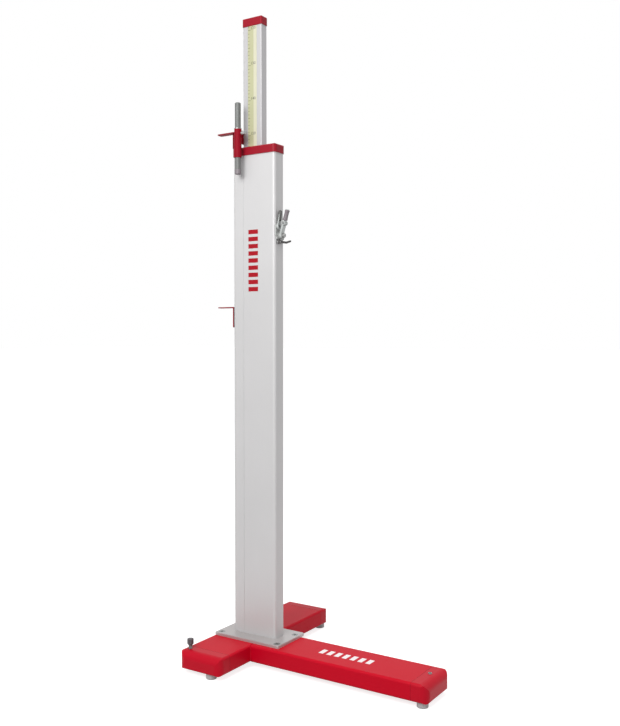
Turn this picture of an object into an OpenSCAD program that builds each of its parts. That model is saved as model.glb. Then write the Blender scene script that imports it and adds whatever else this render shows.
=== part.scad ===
// Free-standing telescopic post on a T base, with a rack lift, a height scale,
// a guide rod and two flat supports that carry a bar or the cord of a net.
// +X runs along the long arm, +Y to the rear wing of the cross beam, +Z is up.
// Modules draw from the column's left face (x = 0), the middle of its depth (y = 0)
// and the floor (z = 0). place() then centres the post over its own footprint.

/* [Base beams] */
// Gap between the floor and the underside of the beams
beam_lift = 15; // [14:0.5:22]
// Height of the beams
beam_h = 48.5; // [44:0.5:60]
// Wall of the beams
beam_wall = 4; // [3:0.5:5]
// Radius of the long edges of the beams
beam_r = 7; // [5:0.5:9]
// Width of the cross beam
cross_w = 144; // [134:1:160]
// Reach of the cross beam in front of the column's middle
cross_front = 224; // [214:1:280]
// Reach of the cross beam behind the column's middle
cross_rear = 337; // [320:1:400]
// How far the cross beam stands out beside the column's left face
cross_out = 39; // [36:1:46]
// Width of the long arm
arm_w = 140; // [130:1:152]
// How far the long arm's middle lies in front of the column's middle
arm_offset = 14.5; // [8:0.5:18]
// Reach of the long arm from the column's left face
arm_reach = 652; // [560:1:760]
// Length of the moulded shoes on the beam ends
shoe_l = 46; // [42:1:52]
// Corner radius of the shoes
shoe_r = 20; // [12:1:22]

/* [Base plate] */
// Length of the base plate along the long arm
plate_w = 227; // [220:1:240]
// Depth of the base plate
plate_d = 135; // [128:1:140]
// Thickness of the base plate
plate_t = 8; // [6:0.5:12]
// How far the plate stands out beside the column's left face
plate_out = 38; // [35:1:40]

/* [Column] */
// Width of the column profile
col_w = 148; // [142:1:160]
// Depth of the column profile
col_d = 46; // [46:0.5:50]
// Wall of the column profile
col_wall = 3; // [2.5:0.25:3]
// Corner radius of the column's left side
col_r_left = 8; // [5:0.5:10]
// Corner radius of the column's right side
col_r_right = 8; // [4:0.5:9]
// Height of the fixed column with its cap
post_h = 1481; // [1460:1:1560]
// Height of the column cap's skirt
cap_h = 24; // [20:1:36]
// Thickness of the roof of the column cap
cap_roof = 4; // [3:0.5:6]
// Wall of the column cap's skirt
cap_wall = 2.3; // [2:0.1:2.6]

/* [Accessory track] */
// Distance of the front groove from the column's left face
groove_x = 38; // [34:0.5:44]
// Width of the open slot
slot_w = 8; // [6:0.5:9]
// Thickness of the lips of the slot
slot_lip = 2.5; // [2:0.25:2.75]
// Width of the hollow behind the lips
slot_room_w = 16; // [15:0.5:18]
// Depth of the hollow behind the lips
slot_room_d = 4.2; // [3.6:0.1:4.4]

/* [Mast] */
// Width of the mast profile
mast_w = 65; // [60:0.5:66]
// Depth of the mast profile
mast_d = 26; // [25:0.5:26.5]
// Wall of the mast profile
mast_wall = 2.5; // [2:0.25:3.5]
// Distance of the mast's left side from the column's left face
mast_x = 30; // [29:0.5:32]
// Height of the lowered post, the mast cap included
rest_h = 1850; // [1800:1:1950]
// Height of the mast cap
mast_cap_h = 24; // [18:1:34]
// Wall of the mast cap's skirt
mast_cap_wall = 1.5; // [1.2:0.1:2]
// Width of the height scale
tape_w = 31; // [24:1:34]
// Thickness of the height scale
tape_t = 0.4; // [0.3:0.1:0.5]

/* [Lift] */
// Height of the crank shaft above the floor
lift_z = 1222; // [1205:1:1260]
// How far the mast rises
lift_travel = 1000; // [850:10:1020]
// Module of the rack and pinion
gear_module = 2; // [1.9:0.05:2.05]
// Number of teeth of the pinion
pinion_teeth = 12; // [11:1:12]
// Radius of the crank shaft
shaft_r = 6; // [5:0.5:7]
// Distance from the crank shaft to the fold of its grip
crank_r = 36; // [33:1:42]
// Radius of the crank grip
knob_r = 7; // [6:0.5:7.5]
// Length of the crank grip
knob_l = 30; // [24:1:36]
// Length of the brake lever
brake_l = 48; // [44:1:54]
// Length of the mast lock lever
lock_l = 54; // [40:1:64]

/* [Supports] */
// Reach of a support plate
support_l = 60; // [50:1:80]
// Width of a support plate
support_w = 20; // [18:1:22]
// Thickness of a support plate
support_t = 3; // [2.5:0.5:4]
// Height of the upper support above the column cap
upper_rise = 52; // [48:1:70]
// Depth of the finger under the upper support
upper_leg = 47; // [36:1:48]
// Width of that finger
finger_w = 8; // [6:0.5:12]
// Height of the lower support above the floor
lower_z = 1023; // [800:1:1100]
// Depth of the leg of the lower support
lower_leg = 60; // [56:1:80]

/* [Guide rod] */
// Radius of the guide rod
rod_r = 8.5; // [8:0.5:9.5]
// Reach of the guide rod above the upper support
rod_above = 71; // [60:1:120]
// Reach of the guide rod below the upper support
rod_below = 129; // [110:1:160]
// Wall of the sleeve that holds the rod
sleeve_wall = 2; // [2:0.1:2.6]
// How far the sleeve ends below the top of the upper support
sleeve_drop = 4; // [3:0.5:8]
// Reach of the sleeve below the upper support
sleeve_below = 85; // [66:1:90]

/* [Levelling] */
// Radius of the levelling screws
level_r = 5; // [4:0.5:6]
// Radius of the levelling knobs
level_knob_r = 9; // [8:0.5:14]
// Height of a raised levelling foot above the floor
level_travel = 9; // [6:0.5:9]

/* [Clearances] */
// Radial clearance of turning and sliding pins
run_gap = 0.06; // [0.03:0.01:0.09]
// Gap between sliding profiles
slide_gap = 0.3; // [0.25:0.05:0.45]

/* [Hidden] */
$fn = 40;
EPS = 0.01;

// Heights
beam_top = beam_lift + beam_h;
plate_top = beam_top + plate_t;
col_end = post_h - cap_roof;
mast_cap_roof = 4;
mast_end = rest_h - mast_cap_roof;
upper_z = post_h + upper_rise;

// Base layout
cross_x0 = -cross_out;
cross_x1 = cross_w - cross_out;
cross_mid = (cross_x0 + cross_x1) / 2;
arm_y = -arm_offset;
arm_y0 = arm_y - arm_w / 2;
arm_y1 = arm_y + arm_w / 2;
end_plug = 7;
plate_x1 = plate_w - plate_out;
bolt_r = 5;
bolt_inset = 15;
bolt_head_h = 6.4;
bolt_key_r = 3.4;
bolt_af_r = 9.2;
washer_r = 9.5;
washer_t = 2;
nut_h = 8;
foot_r = 15;
foot_in = 19;
foot_side = 43;
ballast_h = beam_h - 2 * beam_wall - 4;
ballast_gap = 4;
ballast_play = 5;
ballast_end = shoe_l + end_plug + 5;
ballast_mid = plate_d / 2 + 10;
ballast_thread = 20;
shoe_top_r = 22;
shoe_floor_r = 4;
shoe_floor = beam_wall + 3.2;
shoe_nose = 16;

// Column profile
col_half = col_d / 2;
col_in = col_half - col_wall;
pocket_web = 2;
pocket_half = slot_room_w / 2 + pocket_web;
pocket_x = slot_lip + slot_room_d + pocket_web;
groove_w = 1.2;
groove_d = 0.6;
cap_edge_r = 5;
skirt_gap = 0.2;

// Mast and lift
mast_x1 = mast_x + mast_w;
mast_mid = mast_x + mast_w / 2;
mast_half = mast_d / 2;
mast_r = 2;
mast_cap_edge_r = 4;
tape_bed = 0.6;
tape_side = 0.5;
pitch_r = gear_module * pinion_teeth / 2;
tooth_pitch = PI * gear_module;
rack_w = 12;
rack_add = 0.68 * gear_module;
rack_ded = 1.15 * gear_module;
pinion_add = 0.9 * gear_module;
pinion_ded = 1.2 * gear_module;
tooth_play = 0.12;
pressure = 20;
shaft_y = mast_half - 3.7 - rack_ded - pitch_r;
rack_line = shaft_y + pitch_r;
rack_margin = 25;
rack_z0 = lift_z - lift_travel - rack_margin;
rack_z1 = lift_z + rack_margin;
slide_h = 40;
slide_floor = 6;
slide_top = rack_z0 - 6;
slide_z = slide_top - slide_h;
mast_bottom = slide_z + slide_floor;
buffer_t = 8;
foot_block_h = slide_z - slide_gap - buffer_t - plate_top;
guide_h = 60;
rack_screw_r = 1.6;
rack_screw_n = 7;

// Lift drive on the right side of the column
pinion_x0 = mast_x1 + 1;
pinion_w = 10;
block_x0 = mast_x1 + rack_w + 2;
block_x1 = col_w - col_wall;
block_down = 29;
block_up = 34;
bush_wall = 2.5;
bush_l = 12;
flange_t = 4;
boss_x1 = col_w + 6.5;
boss_r = shaft_r + bush_wall + 2.5;
outer_bush_x0 = col_w - col_wall + 0.5;
housing_half = 17;
housing_down = 11;
housing_up = 14;
brake_y = shaft_y - 10;
brake_z = lift_z + 25;
brake_shaft_r = 4;
ear_r = 8;
lever_t = 5;
lever_x0 = col_w + flange_t + 1;
lever_web = 3;
lever_tip = 12;
lock_y = shaft_y - 5;
lock_z = lift_z - 17.5;
lock_r = 3;
lock_pad_r = 3.4;
lock_collar_r = 5.5;
lock_x0 = col_w + 1;
lock_x1 = lock_x0 + 5;
lock_t = 3;
lock_rise = 6;
screw_r = 2.5;
head_r = 4.6;
head_h = 3.4;
crank_x0 = boss_x1 + 1;
crank_hub_l = 8;
crank_hub_r = 9;
crank_t = 5;
crank_out = 16.5;
crank_nut_r = 7;
crank_nut_h = 4.5;
washer_h = 1.2;
fork_r = 6.5;
fork_half = 8;
fork_slot = 3.9;
fold_pin_r = 2.5;
eye_half = 3.5;
eye_r = 5.5;
knob_pin_r = 3.5;
knob_z = crank_r + 7.5;
knob_waist_r = 90;
knob_waist = 0.8;
brake_lean = 12;
grip_r = 5.5;
grip_end_r = 5;
grip_l = 32;

// Supports, sleeve and slider
slider_t = 8.3;
slider_x1 = -slide_gap - 0.1;
rail_x = slider_x1 - slider_t;
slider_half = support_w / 2 - 1;
slider_z0 = lower_z - lower_leg + 3;
key_play = 0.4;
nut_w = slot_room_w - 2;
nut_d = slot_room_d - 2 * key_play;
clamp_z = lower_z - lower_leg / 2;
clamp_r = 3;
clamp_head_r = 5.2;
clamp_seat_r = 5.9;
clamp_seat_x = rail_x + 2.7;
sunk_r = 2.5;
sunk_gap = 0.1;
finger_x = rail_x - support_t - 4;
sleeve_r = rod_r + sleeve_wall;
sleeve_x = mast_x + 4;
sleeve_y = -col_half - 21;
sleeve_z0 = upper_z - sleeve_below;
sleeve_z1 = upper_z - sleeve_drop;
bracket_t = 4;
bracket_z0 = post_h + 11;
bracket_z1 = upper_z - support_t;
ledge_t = 5;
ledge_x0 = 4;
bracket_x0 = mast_x - bracket_t;
bracket_screw_r = 2.5;
bracket_head_r = 4.6;
bracket_head_h = 2.8;
rod_knob_z = upper_z - 16;
rod_knob_r = 5.2;
rod_knob_l = 13;
rod_screw_end = 5;
rod_screw_r = 2.5;
tip_h = 14;
tip_r = rod_r + 0.8;
ring_z = sleeve_z1 + 0.4;
ring_t = 1.5;
ring_bed = 0.9;
ring_out = 2.2;

// Levelling screws
front_level = [cross_x0 + 17, -cross_front + 30];
arm_level = [arm_reach - 30, arm_y + 12.5];
pad_z = level_travel;
pad_top = beam_lift - 0.5;
pad_r = level_r + 3;
level_knob_z = beam_top + level_travel + 1.3;
level_knob_neck = 3;
level_knob_h = 17;
arm_screw_z = beam_top + 2.5;

// Footprint, used only to centre the frame
foot_x0 = min(cross_x0, rail_x - support_l, -plate_out);
foot_x1 = max(arm_reach, plate_x1);
foot_y0 = min(-cross_front, arm_y0);
foot_y1 = max(cross_rear, arm_y1);
origin_x = (foot_x0 + foot_x1) / 2;
origin_y = (foot_y0 + foot_y1) / 2;

RED = [0.75, 0.02, 0.12];
SILVER = [0.8, 0.81, 0.82];
STEEL = [0.6, 0.62, 0.63];
DARK = [0.16, 0.16, 0.17];

// ---------- helpers ----------

module place() {
  translate([-origin_x, -origin_y, 0]) children();
}

// Flat plate of the given corners with a radius for the left and one for the right side
module round_rect(x0, x1, y0, y1, rl, rr) {
  translate([x0 + rl, y0]) square([x1 - x0 - rl - rr, y1 - y0]);
  translate([x0, y0 + rl]) square([rl + EPS, y1 - y0 - 2 * rl]);
  translate([x1 - rr - EPS, y0 + rr]) square([rr + EPS, y1 - y0 - 2 * rr]);
  for (y = [y0 + rl, y1 - rl]) translate([x0 + rl, y]) circle(rl);
  for (y = [y0 + rr, y1 - rr]) translate([x1 - rr, y]) circle(rr);
}

// Round bar along X
module bar_x(x0, x1, y, z, r) {
  translate([x0, y, z]) rotate([0, 90, 0]) cylinder(r = r, h = x1 - x0);
}

// Round bar along Y
module bar_y(x, y0, y1, z, r) {
  translate([x, y0, z]) rotate([-90, 0, 0]) cylinder(r = r, h = y1 - y0);
}

// Button head whose flat side lies on z = 0, dome up, with a hex socket
module button_head(r, h, key = 2) {
  difference() {
    rotate_extrude() intersection() {
      square([r, h]);
      translate([0, h - 1.35 * r]) circle(1.35 * r);
    }
    translate([0, 0, h * 0.45]) cylinder(r = key, h = h, $fn = 6);
  }
}

// Flat outline with the two corners of its far side rounded
module nose(x0, x1, y0, y1, rl, rr) {
  translate([x0, y0]) square([x1 - x0, y1 - y0 - max(rl, rr)]);
  translate([x0 + rl, y0]) square([x1 - x0 - rl - rr, y1 - y0]);
  translate([x0, y0]) square([rl + EPS, y1 - y0 - rl]);
  translate([x1 - rr - EPS, y0]) square([rr + EPS, y1 - y0 - rr]);
  translate([x0 + rl, y1 - rl]) circle(rl);
  translate([x1 - rr, y1 - rr]) circle(rr);
}

// Block with rounded upright edges and a rounded top edge
module soft_block(x0, x1, y0, y1, z0, z1, rl, rr, rt) {
  intersection() {
    translate([0, 0, z0]) linear_extrude(z1 - z0) round_rect(x0, x1, y0, y1, rl, rr);
    translate([0, y1 + 1, 0]) rotate([90, 0, 0]) linear_extrude(y1 - y0 + 2)
      nose(x0, x1, z0 - 1, z1, rt, rt);
    translate([x0 - 1, 0, 0]) rotate([90, 0, 90]) linear_extrude(x1 - x0 + 2)
      nose(y0, y1, z0 - 1, z1, rt, rt);
  }
}

// Tube of a beam, drawn along Z with its width on X and its height on Y
module beam_tube(w, h, len) {
  linear_extrude(len) difference() {
    round_rect(-w / 2, w / 2, 0, h, beam_r, beam_r);
    round_rect(-w / 2 + beam_wall, w / 2 - beam_wall, beam_wall, h - beam_wall,
               beam_r - beam_wall + 1, beam_r - beam_wall + 1);
  }
}

// Moulded shoe of a beam end: a rounded nose, hollow, with a plug inside the beam
module beam_shoe(w, h) {
  in_w = w / 2 - beam_wall - 0.2;
  difference() {
    union() {
      intersection() {
        linear_extrude(shoe_l) round_rect(-w / 2, w / 2, 0, h, beam_r, beam_r);
        translate([0, h + 1, 0]) rotate([90, 0, 0]) linear_extrude(h + 2)
          nose(-w / 2, w / 2, -1, shoe_l, shoe_r, shoe_r);
        translate([-w / 2 - 1, 0, 0]) rotate([90, 0, 90]) linear_extrude(w + 2)
          nose(0, h, -1, shoe_l, shoe_floor_r, shoe_top_r);
      }
      translate([0, 0, -end_plug]) linear_extrude(end_plug + EPS)
        round_rect(-in_w, in_w, beam_wall + 0.2, h - beam_wall - 0.2, 3, 3);
    }
    translate([0, 0, -end_plug - EPS]) linear_extrude(end_plug + shoe_l - shoe_nose)
      round_rect(-in_w + 3, in_w - 3, shoe_floor, h - shoe_floor, 2, 2);
  }
}

// The hollow of the column, shrunk all round by c
module column_hollow(c) {
  difference() {
    round_rect(col_wall + c, col_w - col_wall - c, -col_in + c, col_in - c,
               max(col_r_left - col_wall, 1.5), max(col_r_right - col_wall, 1));
    translate([0, -pocket_half - c]) square([pocket_x + c, 2 * (pocket_half + c)]);
  }
}

// Outline of the mast with its rack, grown all round by c
module mast_outline(c) {
  round_rect(mast_x - c, mast_x1 + c, -mast_half - c, mast_half + c, mast_r, mast_r);
}

module rack_outline(c) {
  translate([mast_x1 - EPS, rack_line - rack_add - c])
    square([rack_w + c + EPS, mast_half + c - (rack_line - rack_add - c)]);
}

// ---------- base ----------

// Openings of the beams: plate bolts above, ballast bolts below
function plate_bolt_spots() = [
  [-plate_out + bolt_inset + 1, -plate_d / 2 + bolt_inset],
  [-plate_out + bolt_inset + 1, plate_d / 2 - bolt_inset],
  [plate_x1 - bolt_inset, -plate_d / 2 + bolt_inset],
  [plate_x1 - bolt_inset, min(plate_d / 2 - bolt_inset, arm_y1 - beam_r - 10)]
];
function fixed_foot_spots() = [
  [cross_x1 - foot_side, -cross_front + foot_in],
  [cross_x0 + foot_in + 3, cross_rear - foot_in],
  [cross_x1 - foot_in - 3, cross_rear - foot_in],
  [arm_reach - foot_in - 3, arm_y0 + foot_in + 3]
];
ballast_w = cross_w - 2 * beam_wall - 2 * ballast_play;
ballast_half = arm_w / 2 - beam_wall - ballast_play - ballast_gap / 2;
function ballast_boxes() = [
  [[cross_x0 + beam_wall + ballast_play, -cross_front + ballast_end],
   [ballast_w, cross_front - ballast_end - ballast_mid]],
  [[cross_x0 + beam_wall + ballast_play, ballast_mid],
   [ballast_w, cross_rear - ballast_mid - ballast_end]],
  [[plate_x1 + 30, arm_y0 + beam_wall + ballast_play],
   [arm_reach - plate_x1 - 30 - ballast_end, ballast_half]],
  [[plate_x1 + 30, arm_y + ballast_gap / 2],
   [arm_reach - plate_x1 - 30 - ballast_end, ballast_half]]
];

module beam_openings() {
  for (p = plate_bolt_spots())
    translate([p[0], p[1], beam_top - beam_wall - 2]) cylinder(r = bolt_r + 0.2, h = beam_wall + 4);
  for (b = ballast_boxes())
    translate([b[0][0] + b[1][0] / 2, b[0][1] + b[1][1] / 2, beam_lift - 2])
      cylinder(r = bolt_r + 0.2, h = beam_wall + 4);
}

module cross_beam() {
  color(RED) difference() {
    translate([cross_mid, cross_rear - shoe_l, beam_lift])
      rotate([90, 0, 0]) beam_tube(cross_w, beam_h, cross_front + cross_rear - 2 * shoe_l);
    beam_openings();
  }
}

module long_arm() {
  color(RED) difference() {
    translate([cross_x1, arm_y, beam_lift])
      rotate([90, 0, 90]) beam_tube(arm_w, beam_h, arm_reach - shoe_l - cross_x1);
    beam_openings();
  }
}

module beam_end_caps() {
  color(RED) difference() {
    union() {
      translate([cross_mid, -cross_front + shoe_l, beam_lift])
        rotate([90, 0, 0]) beam_shoe(cross_w, beam_h);
      translate([cross_mid, cross_rear - shoe_l, beam_lift])
        rotate([90, 0, 180]) beam_shoe(cross_w, beam_h);
      translate([arm_reach - shoe_l, arm_y, beam_lift])
        rotate([90, 0, 90]) beam_shoe(arm_w, beam_h);
    }
    for (p = [front_level, arm_level])
      translate([p[0], p[1], beam_lift - 2]) cylinder(r = level_r + 0.6, h = beam_h + 4);
  }
}

module ballast_bars() {
  color(DARK) for (b = ballast_boxes())
    difference() {
      translate([b[0][0], b[0][1], beam_lift + beam_wall])
        linear_extrude(ballast_h) round_rect(0, b[1][0], 0, b[1][1], 5, 5);
      translate([b[0][0] + b[1][0] / 2, b[0][1] + b[1][1] / 2, beam_lift])
        cylinder(r = bolt_r, h = beam_wall + ballast_thread);
    }
}

module ballast_bolts() {
  color(STEEL) for (b = ballast_boxes())
    translate([b[0][0] + b[1][0] / 2, b[0][1] + b[1][1] / 2, beam_lift]) {
      cylinder(r = bolt_r, h = beam_wall + ballast_thread);
      translate([0, 0, -washer_t]) cylinder(r = washer_r, h = washer_t);
      translate([0, 0, -washer_t - bolt_head_h + EPS])
        cylinder(r = bolt_af_r, h = bolt_head_h, $fn = 6);
    }
}

module fixed_feet() {
  color(DARK) for (p = fixed_foot_spots())
    translate([p[0], p[1], 0]) rotate_extrude() difference() {
      union() {
        square([foot_r - 2, beam_lift]);
        translate([0, 2]) square([foot_r, beam_lift - 3]);
        translate([foot_r - 2, 2]) circle(2);
      }
      translate([0, -EPS]) square([5, 4]);
      translate([-foot_r, 0]) square([foot_r, beam_lift]);
    }
}

module levelling_nuts() {
  color(STEEL) for (p = [front_level, arm_level])
    translate([p[0], p[1], beam_lift + shoe_floor]) difference() {
      cylinder(r = level_r * 1.85, h = nut_h, $fn = 6);
      translate([0, 0, -1]) cylinder(r = level_r + run_gap, h = nut_h + 2);
    }
}

module base_plate() {
  color(SILVER) difference() {
    union() {
      translate([0, 0, beam_top]) linear_extrude(plate_t - 1.2)
        round_rect(-plate_out, plate_x1, -plate_d / 2, plate_d / 2, 6, 6);
      translate([0, 0, plate_top - 1.2 - EPS]) linear_extrude(1.2 + EPS)
        round_rect(-plate_out + 1.2, plate_x1 - 1.2, -plate_d / 2 + 1.2, plate_d / 2 - 1.2, 5, 5);
    }
    for (p = plate_bolt_spots()) translate([p[0], p[1], 0]) {
      translate([0, 0, beam_top - 1]) cylinder(r = bolt_r + 0.2, h = plate_t + 2);
      translate([0, 0, plate_top - bolt_r - sunk_gap])
        cylinder(r1 = bolt_r, r2 = 2 * bolt_r + sunk_gap, h = bolt_r + sunk_gap);
    }
    for (p = foot_bolt_spots()) translate([p[0], p[1], 0]) {
      translate([0, 0, beam_top - 1]) cylinder(r = bolt_r, h = plate_t + 2);
      translate([0, 0, beam_top])
        cylinder(r1 = 2 * bolt_r + sunk_gap, r2 = bolt_r, h = bolt_r + sunk_gap);
    }
  }
}

// Countersunk bolts, flush with the plate
module plate_bolts() {
  color(STEEL) for (p = plate_bolt_spots()) translate([p[0], p[1], plate_top]) difference() {
    union() {
      translate([0, 0, -bolt_r]) cylinder(r1 = bolt_r, r2 = 2 * bolt_r, h = bolt_r);
      translate([0, 0, -plate_t - beam_wall - nut_h - 2])
        cylinder(r = bolt_r, h = plate_t + beam_wall + nut_h + 2 - bolt_r + EPS);
    }
    translate([0, 0, -3]) cylinder(r = bolt_key_r, h = 4, $fn = 6);
  }
}

module plate_nuts() {
  color(STEEL) for (p = plate_bolt_spots())
    translate([p[0], p[1], beam_top - beam_wall - nut_h]) difference() {
      cylinder(r = bolt_af_r, h = nut_h, $fn = 6);
      translate([0, 0, -1]) cylinder(r = bolt_r, h = nut_h + 2);
    }
}

// ---------- column ----------

function foot_bolt_spots() = [
  [col_wall + 14, 0], [mast_mid, col_in - 12], [col_w - col_wall - 14, 0]
];

module foot_block() {
  color(SILVER) translate([0, 0, plate_top]) difference() {
    linear_extrude(foot_block_h) difference() {
      column_hollow(0.1);
      round_rect(col_wall + 30, mast_mid - 14, -col_in + 6, col_in - 6, 3, 3);
      round_rect(mast_mid + 14, col_w - col_wall - 30, -col_in + 6, col_in - 6, 3, 3);
    }
    for (p = foot_bolt_spots()) translate([p[0], p[1], -1]) cylinder(r = bolt_r, h = 31);
    for (x = column_screw_x()) bar_y(x, 0, col_half, 20, screw_r);
  }
}

module foot_bolts() {
  color(STEEL) for (p = foot_bolt_spots()) translate([p[0], p[1], beam_top]) {
    cylinder(r1 = 2 * bolt_r, r2 = bolt_r, h = bolt_r);
    cylinder(r = bolt_r, h = plate_t + 28);
  }
}

function column_screw_x() = [col_wall + 14, col_w - col_wall - 14];

module column() {
  color(SILVER) difference() {
    translate([0, 0, plate_top]) linear_extrude(col_end - plate_top) difference() {
      round_rect(0, col_w, -col_half, col_half, col_r_left, col_r_right);
      column_hollow(0);
      translate([-1, -slot_w / 2]) square([slot_lip + 1 + EPS, slot_w]);
      translate([slot_lip, -slot_room_w / 2]) square([slot_room_d, slot_room_w]);
      translate([groove_x - groove_w / 2, -col_half - 1]) square([groove_w, groove_d + 1]);
    }
    bar_x(col_w - col_wall - 1, col_w + 1, shaft_y, lift_z, shaft_r + bush_wall + 0.3);
    bar_x(col_w - col_wall - col_r_right, col_w + 1, brake_y, brake_z, brake_shaft_r + 0.4);
    bar_x(col_w - col_wall - col_r_right, col_w + 1, lock_y, lock_z, lock_r + 0.4);
    for (p = housing_screw_spots())
      bar_x(col_w - col_wall - 1, col_w + 1, p[0], p[1], screw_r + 0.2);
    for (x = column_screw_x(), z = [plate_top + 20, col_end - guide_h / 2])
      bar_y(x, col_in - 1, col_half + 1, z, screw_r + 0.1);
  }
}

// Button screws in the back wall that hold the foot block and the mast guide
module column_screws() {
  color(STEEL) for (x = column_screw_x(), z = [plate_top + 20, col_end - guide_h / 2])
    translate([x, col_half, z]) {
      rotate([-90, 0, 0]) button_head(head_r, head_h);
      rotate([90, 0, 0]) translate([0, 0, -EPS]) cylinder(r = screw_r, h = col_wall + 8);
    }
}

module column_cap() {
  out = skirt_gap + cap_wall;
  color(RED) difference() {
    soft_block(-out, col_w + out, -col_half - out, col_half + out, post_h - cap_h, post_h,
               col_r_left + out, col_r_right + out, cap_edge_r);
    translate([0, 0, post_h - cap_h - 1]) linear_extrude(cap_h + 1 - cap_roof)
      round_rect(-skirt_gap, col_w + skirt_gap, -col_half - skirt_gap, col_half + skirt_gap,
                 col_r_left + skirt_gap, col_r_right + skirt_gap);
    translate([0, 0, post_h - cap_roof - 1]) linear_extrude(cap_roof + 2) {
      mast_outline(0.8);
      rack_outline(1.2);
    }
  }
}

module mast_guide() {
  color([0.9, 0.9, 0.88]) difference() {
    translate([0, 0, col_end - guide_h]) linear_extrude(guide_h) difference() {
      column_hollow(0.1);
      mast_outline(slide_gap);
      rack_outline(1);
      round_rect(mast_x1 + rack_w + 6, col_w - col_wall - 8, -col_in + 6, col_in - 16, 2, 2);
    }
    for (x = column_screw_x()) bar_y(x, col_in - 9, col_half, col_end - guide_h / 2, screw_r);
  }
}

module stop_buffer() {
  color(DARK) translate([0, 0, plate_top + foot_block_h]) linear_extrude(buffer_t)
    round_rect(mast_x + 6, mast_x1 - 6, -10, 10, 4, 4);
}

// ---------- lift drive fixed to the column ----------

function housing_screw_spots() = [
  [housing_half - 5, lift_z - 6], [housing_half - 5, lift_z + 9]
];
plug_turn = atan2(shaft_y - brake_y, brake_z - lift_z);
plug_span = norm([shaft_y - brake_y, brake_z - lift_z]) - shaft_r - brake_shaft_r - 0.6;
plug_x = (block_x0 + bush_l + block_x1) / 2;

module bearing_block() {
  color(SILVER) difference() {
    translate([0, 0, lift_z - block_down]) linear_extrude(block_down + block_up)
      round_rect(block_x0, block_x1, -col_in + 0.2, col_in - 0.2, 1, max(col_r_right - col_wall, 1));
    bar_x(block_x0 - 1, block_x0 + bush_l, shaft_y, lift_z, shaft_r + bush_wall);
    bar_x(block_x0 - 1, block_x1 + 1, shaft_y, lift_z, shaft_r + 0.5);
    bar_x(block_x0 + 4, block_x1 + 1, brake_y, brake_z, brake_shaft_r + run_gap);
    bar_x(block_x0 - 1, block_x1 + 1, lock_y, lock_z, lock_r + run_gap);
    for (p = housing_screw_spots()) bar_x(block_x1 - 12, block_x1 + 1, p[0], p[1], screw_r);
    translate([plug_x, shaft_y, lift_z]) rotate([plug_turn, 0, 0]) cylinder(r = 3.2, h = 24);
  }
}

// Inner bush in the bearing block, outer bush in the boss of the housing
module shaft_bushes() {
  color([0.72, 0.52, 0.28])
    for (b = [[block_x0, block_x0 + bush_l], [outer_bush_x0, boss_x1]])
      difference() {
        bar_x(b[0], b[1], shaft_y, lift_z, shaft_r + bush_wall);
        bar_x(b[0] - 1, b[1] + 1, shaft_y, lift_z, shaft_r + run_gap);
      }
}

// Round plug pressed against the crank shaft by the flat of the brake shaft
module brake_plug() {
  color([0.72, 0.52, 0.28]) translate([plug_x, shaft_y, lift_z])
    rotate([plug_turn, 0, 0]) translate([0, 0, shaft_r + 0.3]) cylinder(r = 3.1, h = plug_span);
}

module lift_housing() {
  color(SILVER) difference() {
    union() {
      translate([col_w, 0, 0]) rotate([90, 0, 90]) linear_extrude(flange_t) {
        round_rect(-housing_half, housing_half, lift_z - housing_down, lift_z + housing_up, 4, 4);
        translate([brake_y, brake_z]) circle(ear_r);
        translate([brake_y - ear_r, lift_z]) square([2 * ear_r, brake_z - lift_z]);
      }
      bar_x(col_w + flange_t - EPS, boss_x1 - 1, shaft_y, lift_z, boss_r);
      translate([boss_x1 - 1 - EPS, shaft_y, lift_z]) rotate([0, 90, 0])
        cylinder(r1 = boss_r, r2 = boss_r - 1, h = 1 + EPS);
    }
    bar_x(col_w - 1, boss_x1 + 1, shaft_y, lift_z, shaft_r + bush_wall);
    bar_x(col_w - 1, col_w + flange_t + 1, brake_y, brake_z, brake_shaft_r + run_gap);
    for (p = housing_screw_spots())
      bar_x(col_w - 1, col_w + flange_t + 1, p[0], p[1], screw_r + 0.1);
  }
}

module housing_screws() {
  color(STEEL) for (p = housing_screw_spots()) translate([col_w + flange_t, p[0], p[1]]) {
    rotate([0, 90, 0]) button_head(head_r - 0.4, head_h - 0.8);
    rotate([0, -90, 0]) translate([0, 0, -EPS])
      cylinder(r = screw_r - 0.02, h = flange_t + col_wall + 11);
  }
}

// ---------- mast ----------

module mast() {
  color(SILVER) difference() {
    translate([0, 0, mast_bottom]) linear_extrude(mast_end - mast_bottom) difference() {
      mast_outline(0);
      translate([mast_mid - tape_w / 2 - tape_side, -mast_half - 1])
        square([tape_w + 2 * tape_side, 1 + tape_bed]);
      round_rect(mast_x + mast_wall, mast_mid - 1, -mast_half + mast_wall,
                 mast_half - mast_wall, 1.5, 0.5);
      round_rect(mast_mid + 1, mast_x1 - mast_wall, -mast_half + mast_wall,
                 mast_half - mast_wall, 0.5, 1.5);
    }
    for (z = rack_screw_spots()) bar_x(mast_x1 - 4, mast_x1 + 1, rack_screw_y, z, rack_screw_r);
    for (z = bracket_screw_spots()) bar_x(mast_x - 1, mast_x + 4, 0, z, bracket_screw_r);
  }
}

module mast_cap() {
  out = 0.2 + mast_cap_wall;
  color(RED) difference() {
    soft_block(mast_x - out, mast_x1 + out, -mast_half - out, mast_half + out,
               rest_h - mast_cap_h, rest_h, mast_r + out, mast_r + out, mast_cap_edge_r);
    translate([0, 0, rest_h - mast_cap_h - 1]) linear_extrude(mast_cap_h + 1 - mast_cap_roof)
      mast_outline(0.2);
  }
}

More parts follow.
